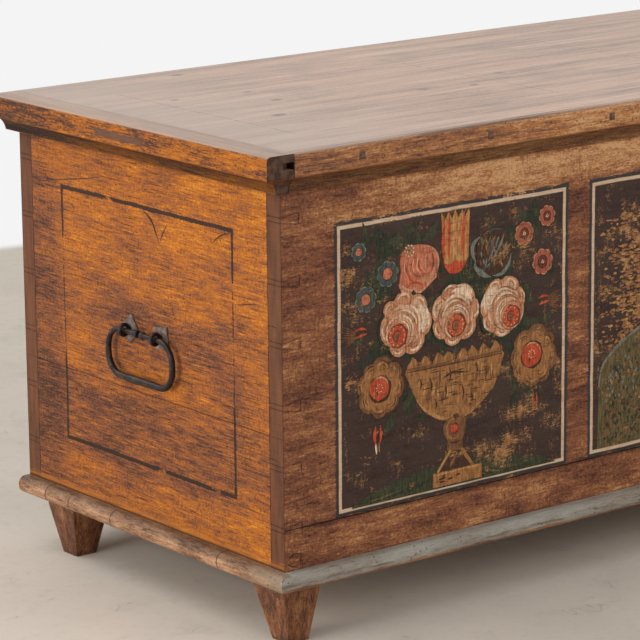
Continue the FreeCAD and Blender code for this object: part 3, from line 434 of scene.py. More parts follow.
def front_colours(s, flaking_tree):
    """Red-brown ground worn along the grain, with dark panels inside cream lines."""
    up = s.z - CASE_BOTTOM
    from_middle = abs(s.x)
    top_rail = s.fade(up, 392.0, 425.0) * (s.fade(s.x, LEFT + 10.0, LEFT + 330.0) + 0.05)
    stile = s.fade(abs(from_middle + (LEFT + STILE_MIDDLE)), 40.0, 24.0)
    # Painted shade: the front is darker just under the lid's moulding, where its shadow falls.
    shade_under_moulding = s.fade(up, 432.0, 452.0)
    low_rail = s.fade(up, 60.0, 44.0)
    lean = top_rail * 0.35 + low_rail * 0.05 - stile * 0.05 - shade_under_moulding * 0.12 - 0.01
    tone, patches, scratches = s.old_paint("x", lean, 0.0, (130.0, 34.0), (40.0, 8.0), (18.0, 1.8),
                                           (0.95, 1.00, 0.80, 0.70))
    upright = s.streaks("z", 22.0, 1.7, 5.0, roughness=0.7)
    colour = s.ramp(tone, FRONT_TONES)
    colour = s.darker(colour, s.fade(upright, 0.45, 0.36) * s.fade(s.cloud(60.0), 0.42, 0.58), 0.55)
    colour = s.darker(colour, dotted_dirt(s, 7.0, 0.24), 0.5)

    wobble = (s.streaks("x", 45.0, 45.0, 5.0) - 0.5) * 2.6
    side_box = (-LEFT - SIDE_PANEL_RIGHT, -LEFT - SIDE_PANEL_LEFT, PANEL_BOTTOM, PANEL_TOP)
    middle_half = -LEFT - MIDDLE_PANEL_LEFT
    middle_box = (-middle_half, middle_half, PANEL_BOTTOM, PANEL_TOP)
    distance = s.math("MINIMUM", s.rectangle(from_middle, up, side_box, wobble),
                      s.rectangle(s.x, up, middle_box, wobble))
    ragged = distance + (scratches - 0.5) * 9.0 + (patches - 0.5) * 5.0
    band = s.fade(ragged, PANEL_BAND + 0.8, PANEL_BAND - 1.6) * s.fade(tone, 0.86, 0.72)
    inside = s.fade(distance, -0.5, -2.0)
    line = s.line(distance, PANEL_LINE / 2)
    ground = s.ramp(tone * 0.6 + 0.16, GROUND_TONES)
    colour = s.mix(band, colour, BAND_BLACK)
    colour = s.mix(inside, colour, ground)
    cream = s.ramp(patches * 0.6 + scratches * 0.8 - 0.14, CREAM_TONES)
    colour = s.mix(line * s.fade(tone, 0.92, 0.74), colour, cream)
    flaked, bare = s.read(s.add("ShaderNodeGroup", node_tree=flaking_tree), "Flaked", "Bare")
    flaked = flaked * inside
    colour = s.mix(flaked, colour, bare)

    seam = s.band(up, FRONT_SEAM, 0.7, 0.5)
    seam_shadow = s.band(up, FRONT_SEAM - 1.0, 3.0, 2.5) * 0.5
    colour = s.darker(colour, s.largest(seam * 0.95, seam_shadow), 0.12)
    height = scratches * 0.7 + patches * 0.3 + inside * 0.25 - flaked * 0.25 - seam * 1.5
    roughness = 0.4 + patches * 0.25
    return colour, roughness, height


def end_lean(s, up, from_front):
    """The end's paint is brightest at the top, darker round the handle and brown at the bottom and back."""
    handle = s.band(up, 240.0, 18.0, 44.0) * s.fade(abs(s.y + 50.0), 190.0, 80.0)
    top = s.fade(up, 262.0, 318.0)
    low = s.fade(up, 175.0, 140.0)
    lowest = s.fade(up, 60.0, 44.0)
    behind = s.fade(from_front, 430.0, 480.0) * s.fade(up, 425.0, 380.0)
    upper_corner = s.fade(from_front, 440.0, 500.0) * s.fade(up, 340.0, 400.0)
    margin = s.fade(from_front, 84.0, 56.0)
    front_corner = s.fade(from_front, 260.0, 150.0) * s.fade(up, 392.0, 410.0)
    return (top * 0.075 + front_corner * 0.12 - handle * 0.15 - low * 0.1 + lowest * 0.15 - behind * 0.19
            - upper_corner * 0.06 + margin * 0.06 - 0.01)


def end_colours(s):
    """Orange-ochre glaze, mottled with brown, inside a black outline."""
    up = s.z - CASE_BOTTOM
    from_front = s.y - FRONT
    tone, patches, scratches = s.old_paint("y", end_lean(s, up, from_front), 17.0, (140.0, 40.0), (34.0, 7.0),
                                           (26.0, 1.6), (0.60, 0.80, 1.15, 0.65))
    upright = s.streaks("z", 12.0, 2.0, 5.0, roughness=0.7)
    lines = s.streaks("y", 60.0, 2.6, 29.0, roughness=0.6)
    colour = s.ramp(tone, END_TONES)
    colour = s.darker(colour, s.fade(upright, 0.45, 0.36), 0.62)
    colour = s.darker(colour, s.fade(lines, 0.40, 0.33), 0.45)
    colour = s.mix(s.fade(lines, 0.62, 0.68) * 0.6, colour, RUBBED_ORANGE)
    colour = s.darker(colour, dotted_dirt(s, 7.0, 0.26), 0.42)
    strip = s.fade(abs(s.y), BACK - WALL - 1.0, BACK - WALL + 0.5)
    strip_tone = s.streaks("z", 60.0, 9.0, detail=4.0) * 0.55 + scratches * 0.2
    colour = s.mix(strip, colour, s.ramp(strip_tone, STRIP_TONES))

    wobble = (s.streaks("y", 60.0, 60.0) - 0.5) * 3.0
    distance = s.rectangle(from_front, up, END_OUTLINE, wobble)
    thick = s.largest(s.fade(up, 320.0, 345.0), s.fade(up, 182.0, 172.0))
    rough = (s.cloud(3.2) - 0.5) * 3.0
    level_lines = s.largest(s.fade(up, 85.0, 76.0), s.fade(up, 376.0, 386.0))
    half_width = 0.9 + thick * 1.2 + level_lines * 0.5 + rough
    outline = s.fade(abs(distance) - half_width, 0.5, -0.4)
    kept = s.fade(patches + s.cloud(24.0) * 0.8 - thick * 0.14, 1.02, 0.9)
    colour = s.mix(outline * kept * 0.95, colour, OUTLINE_BLACK)
    edge = s.fade(up + s.streaks("y", 30.0, 30.0) * 12.0, 17.0, 12.0)
    colour = s.mix(edge * 0.4, colour, RUBBED_ORANGE)
    # Painted shade: a dark line along the end's foot, where it meets the base.
    colour = s.darker(colour, s.fade(up, 4.0, 1.0), 0.35)
    seam = s.band(up, END_SEAM, 0.6, 0.5) * 0.5
    colour = s.darker(colour, seam, 0.3)
    tail_line = s.band(abs(s.y), BACK - WALL, 0.5, 0.5) * s.fade(patches, 0.6, 0.4)
    colour = s.darker(colour, tail_line, 0.35)
    shadow = s.fade(up, 440.0, 454.0)
    colour = s.darker(colour, shadow, 0.5)
    height = scratches * 0.6 + patches * 0.4 - seam * 0.6 - tail_line * 0.6
    roughness = 0.38 + patches * 0.28
    return colour, roughness, height


def case_finish(flaking_tree):
    """Every board of the case: painted front and ends, bare back and inside."""
    s = Finish("case_paint")
    front_colour, front_rough, front_height = front_colours(s, flaking_tree)
    end_colour, end_rough, end_height = end_colours(s)
    on_front = s.facing("y", -1.0) * s.fade(s.y, FRONT + 2.0, FRONT + 1.0)
    outside = s.fade(abs(s.x), -LEFT - 2.0, -LEFT - 1.0)
    on_end = outside * s.fade(abs(s.normal[0]), 0.55, 0.8)
    on_back = s.facing("y", 1.0) * s.fade(s.y, BACK - 2.0, BACK - 1.0)
    inside = inner_colours(s)
    grey = s.mix(s.fade(s.streaks("x", 300.0, 24.0), 0.35, 0.65), GREY_PINE, DULL_PINE)
    grey = s.darker(grey, s.fade(s.streaks("x", 90.0, 1.4), 0.5, 0.32), 0.6)
    colour = s.mix(on_back, inside, grey)
    colour = s.mix(on_end, colour, end_colour)
    colour = s.mix(on_front, colour, front_colour)
    normal, edge = s.rounded_edge(2.2)
    painted = s.largest(on_front, on_end)
    colour = s.darker(colour, edge * painted * 0.9, 0.3)
    plain = wood_height(s)
    height = front_height * on_front + end_height * on_end + plain * (1 - painted)
    roughness = front_rough * on_front + end_rough * on_end + (1 - painted) * 0.72
    return s.done(colour, roughness, height, normal, gloss=0.10)


def pigment_finish(name, colour, flaking_tree):
    """One pigment of the panels, brushed on and flaked like the ground that it lies on."""
    s = Finish(f"pigment_{name}")
    flaked, bare, brush = s.read(s.add("ShaderNodeGroup", node_tree=flaking_tree), "Flaked", "Bare", "Brush")
    light = tuple(min(part * 1.25, 1.0) for part in colour)
    dull = tuple(part * 0.62 for part in colour)
    shade = s.mix(s.fade(brush, 0.34, 0.66), dull, light)
    dirt = s.streaks("x", 18.0, 1.9, 5.0, roughness=0.65)
    shade = s.darker(shade, s.fade(dirt, 0.44, 0.34), 0.55)
    shade = s.mix(flaked, shade, bare)
    height = brush * 0.6 + dirt * 0.5
    return s.done(shade, 0.45 + brush * 0.2, height, depth=0.2, gloss=0.12)


def knots(s):
    """How near the nearest knot of the lid is, from 0 to 1."""
    result = 0.0
    for across, back_from_front, size in LID_KNOTS:
        aside = (s.x - (LEFT + across)) / (size * 1.2)
        behind = (s.y - (FRONT + back_from_front)) / (size * 0.7)
        reach = aside * aside + behind * behind
        result = s.largest(result, s.fade(reach, 1.3, 0.2))
    return result


def lid_top_colour(s, axis, shift, knot):
    """Paint worn through to waxed pine, streaked along the grain."""
    bent = shift + knot * 1.2
    board = s.math("FRACT", shift / 7.3) * 0.08
    tone, patches, scratches = s.old_paint(axis, board, bent, (330.0, 26.0), (150.0, 6.0), (60.0, 1.7),
                                           (1.35, 1.60, 1.30, 0.60))
    colour = s.ramp(tone, LID_TONES)
    rings = s.streaks(axis, 300.0, 3.2, bent, detail=2.0)
    colour = s.darker(colour, s.fade(rings, 0.58, 0.66), 0.78)
    colour = s.darker(colour, s.fade(s.cloud(120.0, detail=5.0), 0.54, 0.72), 0.78)
    warm = s.streaks(axis, 210.0, 9.0, shift + 43.0)
    colour = s.mix(s.fade(warm, 0.54, 0.68) * 0.5, colour, LID_WARM)
    # Painted sheen: the lid greys toward its left end, broken up by the worn patches.
    grey_sheen_to_left = s.fade(s.x + patches * 240.0, LEFT + 520.0, LEFT + 60.0)
    return s.mix(grey_sheen_to_left * 0.55, colour, LID_SHEEN_GREY), patches, scratches


def lid_finish():
    """The lid's boards, with knots and thin painted outlines."""
    s = Finish("lid_wood")
    knot = knots(s)
    colour, patches, scratches = lid_top_colour(s, "x", s.by_piece(), knot)
    colour = s.mix(knot * 0.85, colour, KNOT_BROWN)
    from_front = s.y - FRONT
    box = (-LEFT - LID_OUTLINE[1], -LEFT - LID_OUTLINE[0], LID_OUTLINE[2], LID_OUTLINE[3])
    wobble = (s.cloud(60.0) - 0.5) * 2.0
    outline = s.line(s.rectangle(abs(s.x), from_front, box, wobble), 1.0, 0.8)
    outline = outline * s.fade(patches, 0.62, 0.45) * 0.75
    colour = s.mix(outline, colour, OUTLINE_BLACK)
    bare = s.darker(inner_colours(s, s.by_piece()), s.facing("y", 1.0), 0.62)
    colour = s.mix(s.facing("z", 1.0), bare, colour)
    normal, edge = s.rounded_edge(1.2)
    colour = s.darker(colour, edge * 0.8, 0.35)
    height = patches * 0.8 + scratches * 0.4 - knot * 0.5
    coat = {"Coat Weight": 0.35, "Coat Roughness": 0.30}
    return s.done(colour, 0.3 + patches * 0.25, height, normal, gloss=0.5, **coat)


def trim_finish(name, axis, tones, lean, joint_dark):
    """Worn paint on the lid's cleats and front moulding, with a bright rubbed edge."""
    s = Finish(name)
    lean = s.fade(s.x, LEFT, LEFT + 620.0) * 0.24 - s.fade(s.y, 90.0, BACK) * 0.18 + lean
    tone, patches, scratches = s.old_paint(axis, lean, 31.0, (150.0, 18.0), (44.0, 5.0), (20.0, 1.4),
                                           (0.70, 0.95, 1.10, 0.60))
    colour = s.ramp(tone, tones)
    colour = s.darker(colour, dotted_dirt(s, 6.0, 0.28), 0.4)
    # Painted shade: the lip below the case's top, where the cove turns down and in, is darker, over its
    # browner paint.
    lip = s.fade(s.z, CASE_TOP + 2.0, CASE_TOP - 3.0)
    colour = s.darker(colour, lip, 0.40)
    normal, edge = s.rounded_edge(2.4)
    colour = s.mix(edge * s.fade(patches, 0.66, 0.42) * 0.85, colour, RUBBED_ORANGE)
    joint = s.band(abs(s.x), JOINT_ACROSS, 0.8, 0.5)
    outer = s.fade(s.y, FRONT - 1.0, FRONT - 2.0)
    colour = s.darker(colour, joint * outer, 0.12)
    if joint_dark:
        front_end = s.facing("y", -1.0) * s.fade(abs(s.x), JOINT_ACROSS, JOINT_ACROSS + 1.0)
        end_grain = s.mix(s.fade(s.cloud(9.0), 0.38, 0.66), END_GRAIN_DARK, END_GRAIN_BROWN)
        colour = s.mix(front_end, colour, end_grain)
        worn = s.rectangle(s.y - FRONT, s.z - CASE_TOP, WORN_PATCH, patches * 9.0)
        colour = s.mix(s.fade(worn, 5.5, 3.0) * 0.85, colour, WORN_BROWN)
    on_top = s.facing("z", 1.0)
    colour = s.mix(on_top, colour, lid_top_colour(s, axis, 5.0, 0.0)[0])
    height = scratches * 0.6 + patches * 0.6
    coat = {"Coat Weight": on_top * 0.3, "Coat Roughness": 0.30}
    return s.done(colour, 0.34 + patches * 0.25, height, normal, gloss=0.09, **coat)


def base_finish():
    """Greyed blue paint over brown on the bottom boards, worn to orange along the lower edge."""
    s = Finish("base_paint")
    on_end = s.fade(abs(s.x), -LEFT - 2.0, -LEFT + 2.0)
    on_end = on_end * s.fade(s.y, BASE_FRONT + 2.0, BASE_FRONT + 6.0)
    tone, patches, scratches = s.old_paint("x", 0.03, 3.0, (120.0, 30.0), (44.0, 6.0), (14.0, 1.5))
    paint = s.ramp(tone * 0.8 + 0.14, BASE_TONES)
    streak = s.z - (BASE_UNDER + 10.5) + (patches - 0.5) * 14.0
    streak = s.line(streak, 1.6, 1.4) * s.fade(s.cloud(70.0), 0.44, 0.56)
    paint = s.mix(streak * 0.7, paint, STREAK_BROWN)
    end_tone = s.old_paint("y", 0.03, 8.0, (80.0, 30.0), (30.0, 5.0), (12.0, 1.5))[0]
    end_paint = s.ramp(end_tone, BASE_END_TONES)
    end_paint = s.darker(end_paint, s.fade(s.z, BASE_UNDER + 12.0, BASE_UNDER + 19.0), 0.55)
    grey_corner = s.fade(s.y + s.cloud(40.0) * 60.0, BASE_FRONT + 130.0, BASE_FRONT + 40.0)
    end_paint = s.mix(grey_corner * 0.75, end_paint, CORNER_GREY)
    lower = s.z - BASE_UNDER + patches * 16.0
    paint = s.mix(s.fade(lower, 15.0, 11.5) * 0.92, paint, s.ramp(tone, MOULDING_TONES))
    paint = s.mix(on_end, paint, end_paint)
    for seam_y in BASE_SEAMS:
        bowed = s.y + s.cloud(30.0) * 6.0 - 3.0
        paint = s.darker(paint, s.band(bowed, seam_y, 0.9, 0.6) * on_end * 0.9, 0.12)
    paint = s.darker(paint, dotted_dirt(s, 6.0, 0.28), 0.4)
    outside = s.largest(s.fade(abs(s.x), -LEFT - 1.0, -LEFT), s.fade(abs(s.y), BACK - 1.0, BACK))
    upper = s.fade(s.z, BASE_UNDER + 0.3, BASE_UNDER + 0.6)
    colour = s.mix(outside * upper, inner_colours(s), paint)
    normal, edge = s.rounded_edge(1.0)
    colour = s.darker(colour, edge * 0.6, 0.4)
    height = scratches * 0.7 + patches * 0.7
    return s.done(colour, 0.42 + patches * 0.25, height, normal, depth=0.5, gloss=0.3)


def foot_finish():
    """Red-brown paint on end grain, weathered in upright streaks."""
    s = Finish("foot_paint")
    on_end = s.facing("x", -1.0)
    # Painted shade: the foot's left face is darker. The foot is also darker in its lowest 12 mm.
    lean = 0.01 - on_end * 0.09 - s.fade(s.z, 12.0, 0.0) * 0.12
    tone, patches, scratches = s.old_paint("z", lean, 5.0, (60.0, 30.0), (24.0, 6.0), (10.0, 1.6))
    colour = s.ramp(tone, FOOT_TONES)
    colour = s.darker(colour, dotted_dirt(s, 4.0, 0.36), 0.4)
    normal, edge = s.rounded_edge(2.0)
    colour = s.mix(edge * 0.6, colour, RUBBED_FOOT)
    height = scratches * 0.8 + patches
    return s.done(colour, 0.38 + patches * 0.25, height, normal, depth=0.6)


def nail_finish():
    """Wrought nail heads under old paint."""
    s = Finish("nail_iron")
    rust = s.cloud(5.0, detail=4.0)
    normal, edge = s.rounded_edge(1.2)
    colour = s.mix(s.fade(rust, 0.42, 0.6), NAIL_DARK, NAIL_BROWN)
    colour = s.mix(edge * 0.4, colour, IRON_RUBBED)
    return s.done(colour, 0.4 + rust * 0.2, rust, normal, depth=0.4, gloss=0.4)


def pine_finish():
    s = Finish("inner_pine")
    normal, edge = s.rounded_edge(0.8)
    colour = s.darker(inner_colours(s, s.by_piece()), edge * 0.5, 0.6)
    return s.done(colour, 0.7, wood_height(s), normal)


def iron_finish():
    """Forged iron, dark in its hollows and rubbed on its edges."""
    s = Finish("wrought_iron")
    hammered = s.cloud(7.0)
    grit = s.cloud(1.1, detail=2.0)
    normal, edge = s.rounded_edge(0.8)
    colour = s.mix(s.fade(s.cloud(16.0, detail=4.0), 0.48, 0.66), IRON_DARK, IRON_RUST)
    colour = s.mix(s.largest(edge * 0.8, s.fade(hammered, 0.58, 0.75)) * 0.7, colour, IRON_RUBBED)
    height = hammered + grit * 0.25
    return s.done(colour, 0.22 + grit * 0.2, height, normal, depth=0.6, gloss=0.5, Metallic=0.55)


def plate_finish():
    """The small iron plates under the handle's eyes, brown with old paint."""
    s = Finish("plate_iron")
    stain = s.cloud(8.0, detail=5.0)
    grit = s.cloud(1.3, detail=2.0)
    normal, edge = s.rounded_edge(0.8)
    colour = s.mix(s.fade(stain, 0.42, 0.62), PLATE_BROWN, PLATE_GREY)
    colour = s.darker(colour, edge * 0.7, 0.55)
    height = stain + grit * 0.3
    return s.done(colour, 0.42 + grit * 0.2, height, normal, depth=0.5, gloss=0.35)


# Painted panels: strokes are thin closed layers on the board


DROP = ((0.0, 0.10), (0.18, 0.46), (0.40, 0.80), (0.65, 1.0), (0.84, 0.90), (0.95, 0.55), (1.0, 0.18))
SPINDLE = ((0.0, 0.06), (0.2, 0.62), (0.45, 1.0), (0.7, 0.82), (0.9, 0.40), (1.0, 0.05))
EVEN = ((0.0, 0.7), (0.1, 1.0), (0.9, 1.0), (1.0, 0.6))
STRAIGHT_STEPS = 6

# How many strokes make up a tree and the hill in the middle panel
TREE_STROKES = 330
HILL_STROKES = 1100


def curve_points(points, steps, closed):
    """Points along a smooth curve through the given ones."""
    count = len(points)
    result = []
    spans = count if closed else count - 1
    for number in range(spans):
        if closed:
            a, b, c, d = (points[(number + shift) % count] for shift in (-1, 0, 1, 2))
        else:
            a, b, c, d = (points[min(max(number + shift, 0), count - 1)] for shift in (-1, 0, 1, 2))
        for step in range(steps):
            t = step / steps
            result.append(tuple(
                0.5 * (2 * b[i] + (c[i] - a[i]) * t + (2 * a[i] - 5 * b[i] + 4 * c[i] - d[i]) * t ** 2
                       + (3 * b[i] - a[i] - 3 * c[i] + d[i]) * t ** 3) for i in (0, 1)))
    if not closed:
        result.append(tuple(points[-1]))
    return result


def width_at(profile, share):
    for (low, first), (high, second) in zip(profile[:-1], profile[1:]):
        if share <= high:
            return first + (second - first) * (share - low) / (high - low)
    return profile[-1][1]


def toward(start, angle, reach):
    turn = math.radians(angle)
    return start[0] + reach * math.cos(turn), start[1] + reach * math.sin(turn)


def between(first, second, share):
    return tuple(a + (b - a) * share for a, b in zip(first, second))


def counted_from(corner, points):
    """Places on the face for points that are counted from a corner."""
    return [(corner[0] + x, corner[1] + z) for x, z in points]


class Picture:
    """Strokes of paint on one flat face. Places are (across, up) in millimetres from the case's corner."""

    SUNK = 0.25
    FIRST_LIFT = 0.02

    def __init__(self, name, place, flip=False, step=0.0012):
        self.name = name
        self.place = place
        self.flip = flip
        self.corners = []
        self.faces = []
        self.colours = []
        self.lift = self.FIRST_LIFT
        self.step = step

    def shape(self, pigment, outline, wobble=0.35):
        """A flat area of paint inside an outline."""
        outline = [(x + dice.uniform(-wobble, wobble), z + dice.uniform(-wobble, wobble)) for x, z in outline]
        area = sum(a[0] * b[1] - b[0] * a[1] for a, b in zip(outline, outline[1:] + outline[:1]))
        if (area < 0) != self.flip:
            outline.reverse()
        count = len(outline)
        start = len(self.corners)
        self.corners += [self.place(x, z, self.lift) for x, z in outline]
        self.corners += [self.place(x, z, -self.SUNK) for x, z in outline]
        self.faces.append(list(range(start, start + count)))
        self.faces.append([start + count + number for number in reversed(range(count))])
        for number in range(count):
            after = (number + 1) % count
            self.faces.append([start + after, start + number, start + count + number, start + count + after])
        self.colours += [pigment] * (count + 2)
        self.lift += self.step

    def patch(self, pigment, points):
        """A flat area with a smooth outline."""
        self.shape(pigment, curve_points(points, 3, True), 0.3)

    def stroke(self, pigment, path, width, profile=SPINDLE, steps=4):
        """One brush stroke along a path."""
        spots = curve_points(path, steps, False) if len(path) > 2 else [
            between(*path, number / STRAIGHT_STEPS) for number in range(STRAIGHT_STEPS + 1)]
        lengths = [0.0]
        for a, b in zip(spots[:-1], spots[1:]):
            lengths.append(lengths[-1] + math.dist(a, b))
        left, right = [], []
        for number, spot in enumerate(spots):
            before, after = spots[max(number - 1, 0)], spots[min(number + 1, len(spots) - 1)]
            along = math.atan2(after[1] - before[1], after[0] - before[0])
            half = width / 2 * width_at(profile, lengths[number] / lengths[-1]) * dice.uniform(0.9, 1.1)
            aside = (-math.sin(along) * half, math.cos(along) * half)
            left.append((spot[0] + aside[0], spot[1] + aside[1]))
            right.append((spot[0] - aside[0], spot[1] - aside[1]))
        self.shape(pigment, left + right[::-1], 0.0)

    def strokes(self, corner, rows, profile=SPINDLE):
        """Several strokes, each a pigment, a width and places counted from the corner."""
        for pigment, width, *path in rows:
            self.stroke(pigment, counted_from(corner, path), width, profile)

    def petal(self, pigment, base, angle, reach, width):
        tip = toward(base, angle, reach)
        self.stroke(pigment, [base, between(base, tip, 0.55), tip], width, DROP)

    def arc(self, pigment, centre, radius, start, stop, width):
        """A stroke along part of a circle, between two angles in degrees."""
        spans = 6
        angles = [start + (stop - start) * number / spans for number in range(spans + 1)]
        self.stroke(pigment, [toward(centre, angle, radius) for angle in angles], width, SPINDLE, 2)

    def dot(self, pigment, centre, radius, squeeze=1.0):
        count = 9 if radius < 4 else 18
        ring = []
        for number in range(count):
            angle = 2 * math.pi * number / count
            reach = radius * dice.uniform(0.93, 1.07)
            ring.append((centre[0] + reach * math.cos(angle), centre[1] + reach * squeeze * math.sin(angle)))
        self.shape(pigment, ring, 0.0)

    def dots(self, pigment, centre, radius, start, stop, count, size):
        """Dots of about one size along part of a circle."""
        for number in range(count):
            angle = start + (stop - start) * number / max(count - 1, 1)
            self.dot(pigment, toward(centre, angle, radius), size * dice.uniform(0.8, 1.2))

    def finish(self, body, slot, materials):
        mesh = bpy.data.meshes.new(self.name)
        mesh.from_pydata([[value / METRE for value in corner] for corner in self.corners], [], self.faces)
        names = sorted(set(self.colours))
        for name in names:
            mesh.materials.append(materials[name])
        for polygon, colour in zip(mesh.polygons, self.colours):
            polygon.material_index = names.index(colour)
        mesh.update()
        piece = bpy.data.objects.new(self.name, mesh)
        bpy.context.scene.collection.objects.link(piece)
        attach(piece, body)
        return piece


def petal_gaps(turn, count):
    """The angles between a flower's petals, uneven as a hand paints them."""
    return [turn + (number + dice.uniform(-0.2, 0.2)) * 360 / count for number in range(count)]


def lobes_between(gaps):
    """The first and last angle of each lobe."""
    return list(zip(gaps, gaps[1:] + [gaps[0] + 360]))


def lobed_ring(centre, reach, gaps, depth):
    """A ring of points with a rounded lobe between each two gaps."""
    ring = []
    steps = 6
    for first, last in lobes_between(gaps):
        swell = dice.uniform(0.95, 1.06)
        for step in range(steps):
            bulge = math.sin(math.pi * step / steps) ** 0.6
            away = reach * (1 - depth + depth * bulge) * (1 + (swell - 1) * bulge)
            ring.append(toward(centre, first + (last - first) * step / steps, away))
    return ring


def leaf(picture, base, angle, reach, width, bend, pigment):
    tip = toward(base, angle, reach)
    middle = toward(between(base, tip, 0.5), angle + 90, bend)
    picture.stroke(pigment, [base, middle, tip], width)


def rose(picture, centre, reach, heart, turn, fold):
    """A rose: broad petals with cream rims, and crescents that close in on a heart set to one side."""
    gaps = petal_gaps(turn, 7)
    picture.shape("dark_green", lobed_ring((centre[0], centre[1] - 1.5), reach * 1.04, gaps, 0.06))
    picture.shape("salmon", lobed_ring(centre, reach, gaps, 0.12))
    for first, last in lobes_between(gaps):
        angle = (first + last) / 2
        half = reach * 0.68 * math.sin(math.radians(last - first) / 2)
        spot = toward(centre, angle, reach * 0.97 - half)
        picture.dot(dice.choice(("blush", "salmon", "salmon")), spot, half * 0.92)
        gap = [toward(centre, first, reach * 0.55), toward(centre, first + 3, reach * 0.92)]
        picture.stroke("tan", gap, 2.4)
        picture.arc("tan", toward(spot, angle, 1.0), half * 0.55, angle - 85, angle + 45, 1.8)
        lean = dice.uniform(-20, 20)
        picture.arc("cream", spot, half * 0.9, angle + lean - 62, angle + lean + 62,
                    dice.choice((1.6, 2.2, 3.4)))
    for radius, opening, width in ((0.74, 40, 9.0), (0.88, 26, 5.0)):
        picture.arc("cream", centre, reach * radius, fold - opening, fold + opening, width)
    away = math.degrees(math.atan2(centre[1] - heart[1], centre[0] - heart[0]))
    rings = (("blush", 0.70), ("salmon", 0.63), ("blush", 0.55), ("salmon", 0.48))
    for number, (pigment, size) in enumerate(rings):
        middle = between(centre, heart, 0.15 + 0.25 * number)
        radius = reach * size
        picture.dot("tan", middle, radius * 1.03, 0.97)
        picture.dot(pigment, middle, radius, 0.97)
        lean = dice.uniform(-35, 35)
        picture.arc("cream", middle, radius * 0.90, away + lean - 45, away + lean + 50, 4.4 - 0.7 * number)
        picture.arc("tan", middle, radius * 0.82, away + lean - 60, away + lean + 20, 1.3)
        picture.arc("cream", middle, radius * 0.92, away + 110 + lean, away + 180 + lean, 1.8)
        if number == 1:
            picture.arc("cream", toward(centre, fold, reach * 0.10), reach * 0.52, fold - 48, fold + 42, 12.0)
            picture.arc("blush", toward(centre, fold, reach * 0.06), reach * 0.54, fold - 30, fold + 20, 3.0)
            picture.arc("tan", toward(centre, fold, reach * 0.02), reach * 0.46, fold - 50, fold + 44, 1.6)
    picture.dot("dark_red", (heart[0] + 1.0, heart[1] - 0.4), reach * 0.39)
    picture.dot("coral", heart, reach * 0.345)
    picture.arc("dark_red", heart, reach * 0.17, 0, 320, 2.4)
    picture.arc("rose_red", heart, reach * 0.22, 100, 250, 2.0)
    picture.dots("blush", heart, reach * 0.29, 0, 330, 12, 1.0)
    picture.dot("olive", heart, reach * 0.10)
    picture.stroke("dark_red", [heart, (heart[0] - 0.6, heart[1] - reach * 0.3)], 2.4)


def ochre_flower(picture, centre, heart, reach):
    """A wide ochre flower with wavy petals round a coral heart."""
    gaps = petal_gaps(12, 8)
    picture.shape("umber", lobed_ring((centre[0] + 0.8, centre[1] - 0.8), reach * 1.02, gaps, 0.08))
    picture.shape("brown_ochre", lobed_ring(centre, reach, gaps, 0.10))
    for first, last in lobes_between(gaps):
        angle = (first + last) / 2
        picture.petal("ochre", toward(centre, angle, reach * 0.2), angle, reach * dice.uniform(0.66, 0.74),
                      reach * 0.6)
        spot = toward(centre, angle, reach * 0.60)
        picture.arc("umber", spot, reach * dice.uniform(0.22, 0.30), angle - dice.uniform(30, 100),
                    angle + dice.uniform(0, 80), 1.8)
        picture.arc("brown_ochre", spot, reach * 0.16, angle - 90, angle + 30, 2.6)
        picture.arc("yellow", spot, reach * 0.22, angle - 20, angle + 60, 1.4)
    picture.dot("umber", (heart[0] + 0.8, heart[1] - 0.8), reach * 0.47)
    picture.dot("coral", heart, reach * 0.41)
    picture.arc("pink", heart, reach * 0.37, 10, 130, 2.4)
    picture.dots("cream", heart, reach * 0.13, 0, 300, 8, 0.75)
    picture.stroke("umber", [(heart[0] - 3, heart[1] - 2), (heart[0] - 3, heart[1] - 9)], 2.6)


def ringed_flower(picture, centre, reach, petal, edge, heart, heart_size):
    """A small flower of short petals around a round heart."""
    petals = 8
    for number in range(petals):
        angle = 10 + 360 / petals * number
        picture.petal(petal, centre, angle, reach, reach * 0.75)
        picture.arc(edge, toward(centre, angle, reach * 0.62), reach * 0.34, angle - 60, angle + 60, 1.5)
    picture.dot("umber", centre, heart_size * 1.2)
    picture.dot(heart, centre, heart_size)


def red_bud(picture, centre):
    """A closed red flower with pale streaks and a frilled lower edge."""
    x, z = centre
    body = ((-26, 11), (-19, 24), (-3, 27), (18, 23), (30, 12), (34, 1), (29, -8), (30, -15), (18, -25),
            (3, -32), (-6, -26), (-20, -28), (-27, -18), (-25, -2))
    picture.patch("rose_red", counted_from(centre, body))
    picture.strokes(centre, (
        ("salmon", 6.0, (-16, -22), (2, -18), (22, -14), (28, 2)),
        ("coral", 3.6, (-18, -24), (-4, -18), (10, -24)),
        ("dark_red", 2.6, (22, 15), (25, 4), (22, -8)),
    ))
    picture.strokes(centre, (
        ("pink", 2.8, (-27, -17), (-22, -27), (-12, -29), (-5, -24)),
        ("pink", 2.8, (-5, -24), (0, -31), (9, -29), (19, -21), (29, -16)),
    ), EVEN)
    picture.stroke("pink", [(x + 29, z - 15), (x + 33, z + 2), (x + 27, z + 17), (x + 13, z + 25)], 2.2)
    for number in range(3):
        picture.arc("coral", (x + 6 + number * 3.6, z + 4), 24 - number * 6.3, 150, 250, 3.6)
    for number in range(6):
        aside = x - 19 + number * 6.4
        picture.stroke(dice.choice(("blush", "pink")),
                       [(aside + 2, z + 12 + number), (aside - 1, z), (aside + 6, z - 13 + number)], 2.3)
    picture.stroke("blush", [(x - 24, z - 18), (x - 18, z - 24), (x - 8, z - 27)], 2.6)
    picture.dot("tan", (x - 12, z + 21), 6.4)
    picture.dots("cream", (x - 12, z + 21), 6.6, 20, 340, 9, 1.2)
    picture.dots("blush", (x - 12, z + 21), 3.0, 0, 300, 4, 1.0)


